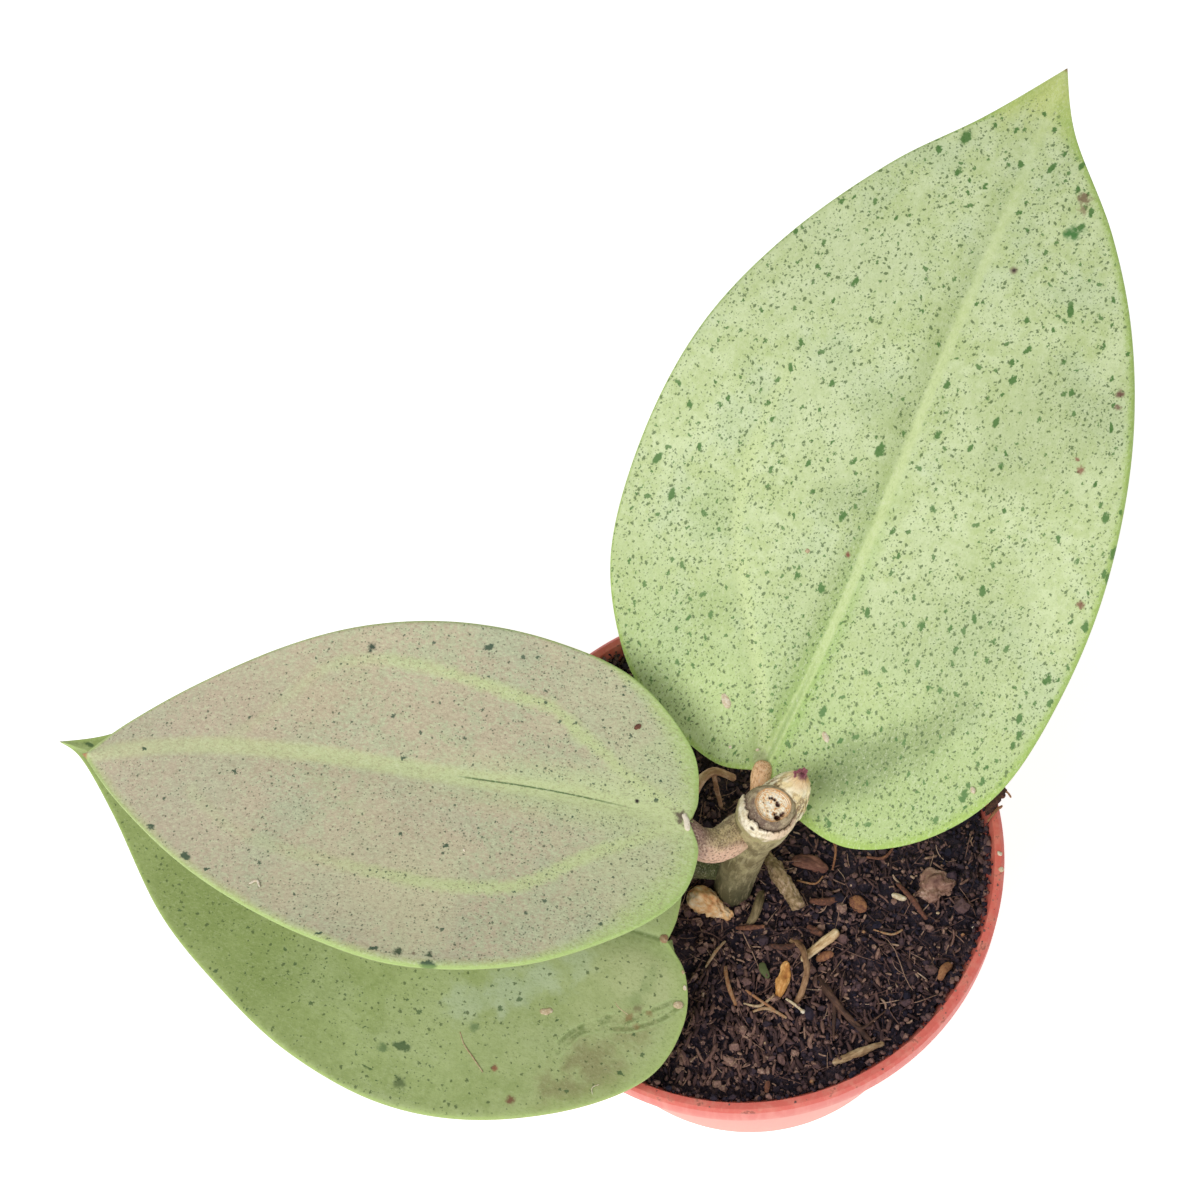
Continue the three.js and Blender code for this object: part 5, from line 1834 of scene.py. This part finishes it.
def bud_finish():
    paint = Finish("cream_bud")
    skin, share = paint.attribute("skin", "Vector"), paint.attribute("share")
    lines = paint.noise(paint.stretch(skin, (1, 1, 0.22)), 0.45 * MM, detail=4.0, roughness=0.75)
    soft = paint.noise(skin, 1.4 * MM, detail=3.0)
    fine = paint.noise(skin, 0.2 * MM)
    # Dark frayed streaks on the lower bud: partly the husk's own, partly painted shade near the shoulder
    # of the cut.
    frayed_and_shaded = paint.ease(share + soft.sway(0.3), 0.86, 0.6) * paint.ease(lines, 0.52, 0.45)
    cream = paint.over(
        (238, 218, 166),
        (paint.ease(soft, 0.4, 0.6), (255, 246, 214)),
        (frayed_and_shaded * 0.8, (120, 88, 56)),
        (paint.ease(lines, 0.44, 0.36) * 0.35, (196, 158, 102)),
        (paint.ease(fine, 0.58, 0.72) * 0.25, (196, 168, 120)),
        (paint.ease(share + soft.sway(0.3), 0.76, 0.94) * 0.6, (206, 160, 98)),
        (paint.ease(share + soft.sway(0.08), 0.93, 1), (124, 68, 80)))
    return paint.coat(cream, 0.6 + lines * 0.15, paint.bump(lines, 0.2 * MM, 0.8), 0.35)


def grow_bud():
    bud = grow("bud_husk", BUD_PATH, BUD_RADII, sides=120, rings=140, blunt=0.9)
    skin = read(bud, "skin")
    turn = np.arctan2(skin[:, 1], skin[:, 0])
    wander = cloud(np.column_stack([np.cos(turn), np.sin(turn), skin[:, 2] * 0.15]) * 1.6)
    lift(bud, RIDGE_RISE / 2 * np.cos(BUD_RIDGES * turn + 4 * wander))
    roughen(bud, 1.3, 0.2, 6, longer=2.5)
    roughen(bud, 0.4, 0.08, 7, longer=3.0)
    return bud


finished(grow_bud(), bud_finish(), "bud_husk", "bud")
TIP_AT, TIP_SCALES = np.array([8.2, 0.15, 87.5]), 11
SCALE_TURN, SCALE_RADII = 2.4, [0.38, 0.32, 0.14]


def grow_scale(i):
    """One withered scale of the tip. Each turns on from the last, as leaves do on a shoot."""
    turn, spread = SCALE_TURN * i, 0.28 + 0.05 * (i % 5)
    out = np.array([2.1 * spread * math.cos(turn) + 0.25, 2.1 * spread * math.sin(turn) + 0.15,
                    1.2 - 0.3 * spread])
    scale = grow(f"tip_scale_{i}", [TIP_AT + 0.3 * out, TIP_AT + 0.75 * out + 0.05, TIP_AT + out],
                 SCALE_RADII, sides=16, rings=24, squash=0.6)
    roughen(scale, 0.4, 0.12, i)
    return scale


finished(joined("bud_tip_scales", [grow_scale(i) for i in range(TIP_SCALES)]),
         streaky("withered_purple", (96, 44, 52), (160, 98, 106), (236, 196, 186), size=0.3,
                 longer=3.0), "bud_husk", "bud")

# %% [markdown]
# ## Leaf stalks
#
# Each blade stands on a short thick stalk, and the two grew as one. The right one is tan,
# the left one is grey-brown above and purplish pink beneath, and the low one is green.

# %% Leaf stalks
STALKS = {
    "right": ([(2.6, -1.6, 75.5), (3.2, 0.6, 77.6), (3.5, 2.1, 79.2), (3.8, 3.4, 80.4),
               (4.8, 5.2, 80.3)], [1.9, 1.8, 1.6, 1.4, 1.35, 1.1]),
    "left": ([(2, -2.9, 78.6), (0, -3.1, 80.2), (-1.9, -4.2, 81.2), (-4, -4.8, 82.2),
              (-5.8, -4.4, 83.6), (-7, -3, 85), (-8.3, -2.2, 85.6)],
             [2.3, 2.35, 2.3, 2.2, 2.1, 1.8, 1.3]),
    "low": ([(-1.4, -3.4, 61.2), (-4.2, -1.6, 60.4), (-8, -1.5, 61), (-11.2, -5, 62.8),
             (-12.6, -9.4, 65), (-13.6, -12.3, 66.2)], [1.6, 1.6, 1.55, 1.5, 1.5, 1.4, 1.1]),
}
STALK_LOOKS = {
    "right": ((212, 150, 98), (248, 202, 150), (236, 190, 146), (176, 124, 84),
              (242, 200, 158)),
    "left": ((150, 132, 98), (212, 192, 146), (228, 186, 160), (84, 60, 56),
             (138, 100, 104)),
    # The low stalk's dull green is darkened as painted shade, for it lies in the shadow under the other
    # leaves.
    "low": ((82, 88, 54), (112, 116, 74), (112, 100, 72), (60, 58, 40),
            (150, 160, 104)),
}


FAR_AND_UP = 0, 0.85, 0.53  # the way that the grey-brown side of a stalk faces


def stalk_finish(name, shade, light, beneath, stipple, at_leaf):
    paint = Finish(name)
    skin = paint.attribute("skin", "Vector")
    up, share = paint.attribute("up"), paint.attribute("share")
    blotch = paint.noise(skin, 1.5 * MM, detail=4.0, roughness=0.6)
    fine = paint.noise(skin, 0.26 * MM, detail=2.0, roughness=0.7)
    under = paint.ease(up + blotch.sway(0.5), 0.35, -0.5) * paint.ease(share, 0.18, 0.4)
    far = paint.ease(share + blotch.sway(0.3), 0.55, 0.85)
    dots = paint.ease(fine + far * 0.03 + paint.ease(up, 0.4, 0.9) * 0.03, 0.54, 0.62)
    colour = paint.over(
        shade, (paint.ease(blotch, 0.38, 0.62), light), (under * 0.85, beneath),
        (far * 0.75, at_leaf), (dots * 0.6, stipple),
        (paint.ease(fine, 0.44, 0.34) * 0.4, (232, 214, 190)))
    bumped = paint.bump(blotch * 0.5 + fine * 0.4, 0.2 * MM, 0.8)
    return paint.coat(colour, 0.58 + fine * 0.15, bumped, 0.35)


for key, (path, radii) in STALKS.items():
    stalk = grow(key + "_leaf_stalk", path, radii, sides=48, rings=110)
    roughen(stalk, 2.2, 0.12, len(key), longer=2.0)
    roughen(stalk, 0.5, 0.03, 2)
    write(stalk, "up", normals_of(stalk) @ FAR_AND_UP)
    skin = stalk_finish(key + "_stalk_skin", *STALK_LOOKS[key])
    finished(stalk, skin, SLOTS[key], "leaf_" + key)

# %% [markdown]
# ## Crumbs on the leaves
#
# Flakes of husk and a few grains have dropped on the leaves, a loose fibre lies on the low
# one, and a small cream gland sits in the notch of two blades.

# %% Crumbs on the leaves
# The leaf, a course on it in mm, the radius, how flat, and the tint.
LEAF_BITS = [
    ("right", [(6.7, 8.1), (6.1, 7.5), (5.4, 6.7)], 0.5, 0.5, 0.86),
    ("right", [(7.2, -5.5), (6.8, -6), (6.3, -6.6)], 0.42, 0.5, 0.84),
    ("right", [(27, 4.8), (27.5, 5.1)], 0.36, 0.6, 0.72),
    ("right", [(7.3, -25.6), (7.7, -26)], 0.45, 0.6, 0.84),
    ("right", [(1.8, 1.3), (2.1, 1.5)], 0.26, 0.6, 0.88),
    ("right", [(0.8, 4.7), (1.1, 4.9)], 0.24, 0.6, 0.88),
    ("left", [(0.6, -0.9), (0.1, 0.1), (-0.2, 1.2)], 0.42, 0.9, 0.97),
    ("left", [(7.4, -10.5), (7.8, -10.9)], 0.5, 0.6, 0.32),
    ("left", [(50.4, 16.5), (51, 15.7), (51.9, 16.2)], 0.16, 0.8, 0.9),
    ("left", [(26, 8.2), (26.3, 8.4)], 0.24, 0.6, 0.9),
    ("low", [(10.8, 13.2), (11.4, 13.6), (12.2, 13.9)], 0.42, 0.5, 0.78),
    ("low", [(-4.6, 7), (-4.1, 7.2), (-3.5, 7.5)], 0.5, 0.5, 0.78),
    ("low", [(-3.5, 3), (-3.2, 3.2)], 0.32, 0.6, 0.74),
    ("low", [(20.9, 19.7), (19.9, 21), (18.3, 22.2), (16.4, 23.6)], 0.08, 1, 0.68),
    ("low", [(4.1, 8.8), (3.2, 10), (1.6, 10.6)], 0.07, 1, 0.74),
    ("low", [(2.1, 20.2), (2.8, 20.9), (2.5, 21.7)], 0.05, 1, 0.88),
    ("low", [(-4, 4.6), (-4.3, 5.2)], 0.24, 0.6, 0.86),
    ("low", [(0, -0.6), (0.3, -0.2), (0.6, 0.3)], 0.55, 0.6, 0.62),
]


def on_leaf(key, x, y, above):
    """A place above the top of a blade, in the pot's millimetres."""
    leaf = LEAVES[key]
    _, turn = leaf_turn(leaf)
    height = blade_height(leaf, x, y) + MID_THICKNESS / 2 + above
    return move(turn, np.array([[x, y, height]]))[0] / MM


def lay_leaf_bit(number, key, course, radius, squash, tint):
    path = [on_leaf(key, x, y, 0.5 * radius * squash - 0.15) for x, y in course]
    bit = grow(f"leaf_bit_{number}", path, [0.7 * radius, radius, 0.8 * radius], sides=18, rings=30,
               squash=squash)
    roughen(bit, 0.5, 0.25 * radius, number, longer=1.5)
    return tinted(bit, tint)


leaf_bits = [lay_leaf_bit(i, *bit) for i, bit in enumerate(LEAF_BITS)]
finished(joined("leaf_crumbs", leaf_bits), earthy("leaf_crumb_finish", SCRAP_STOPS), "dry_fibre")
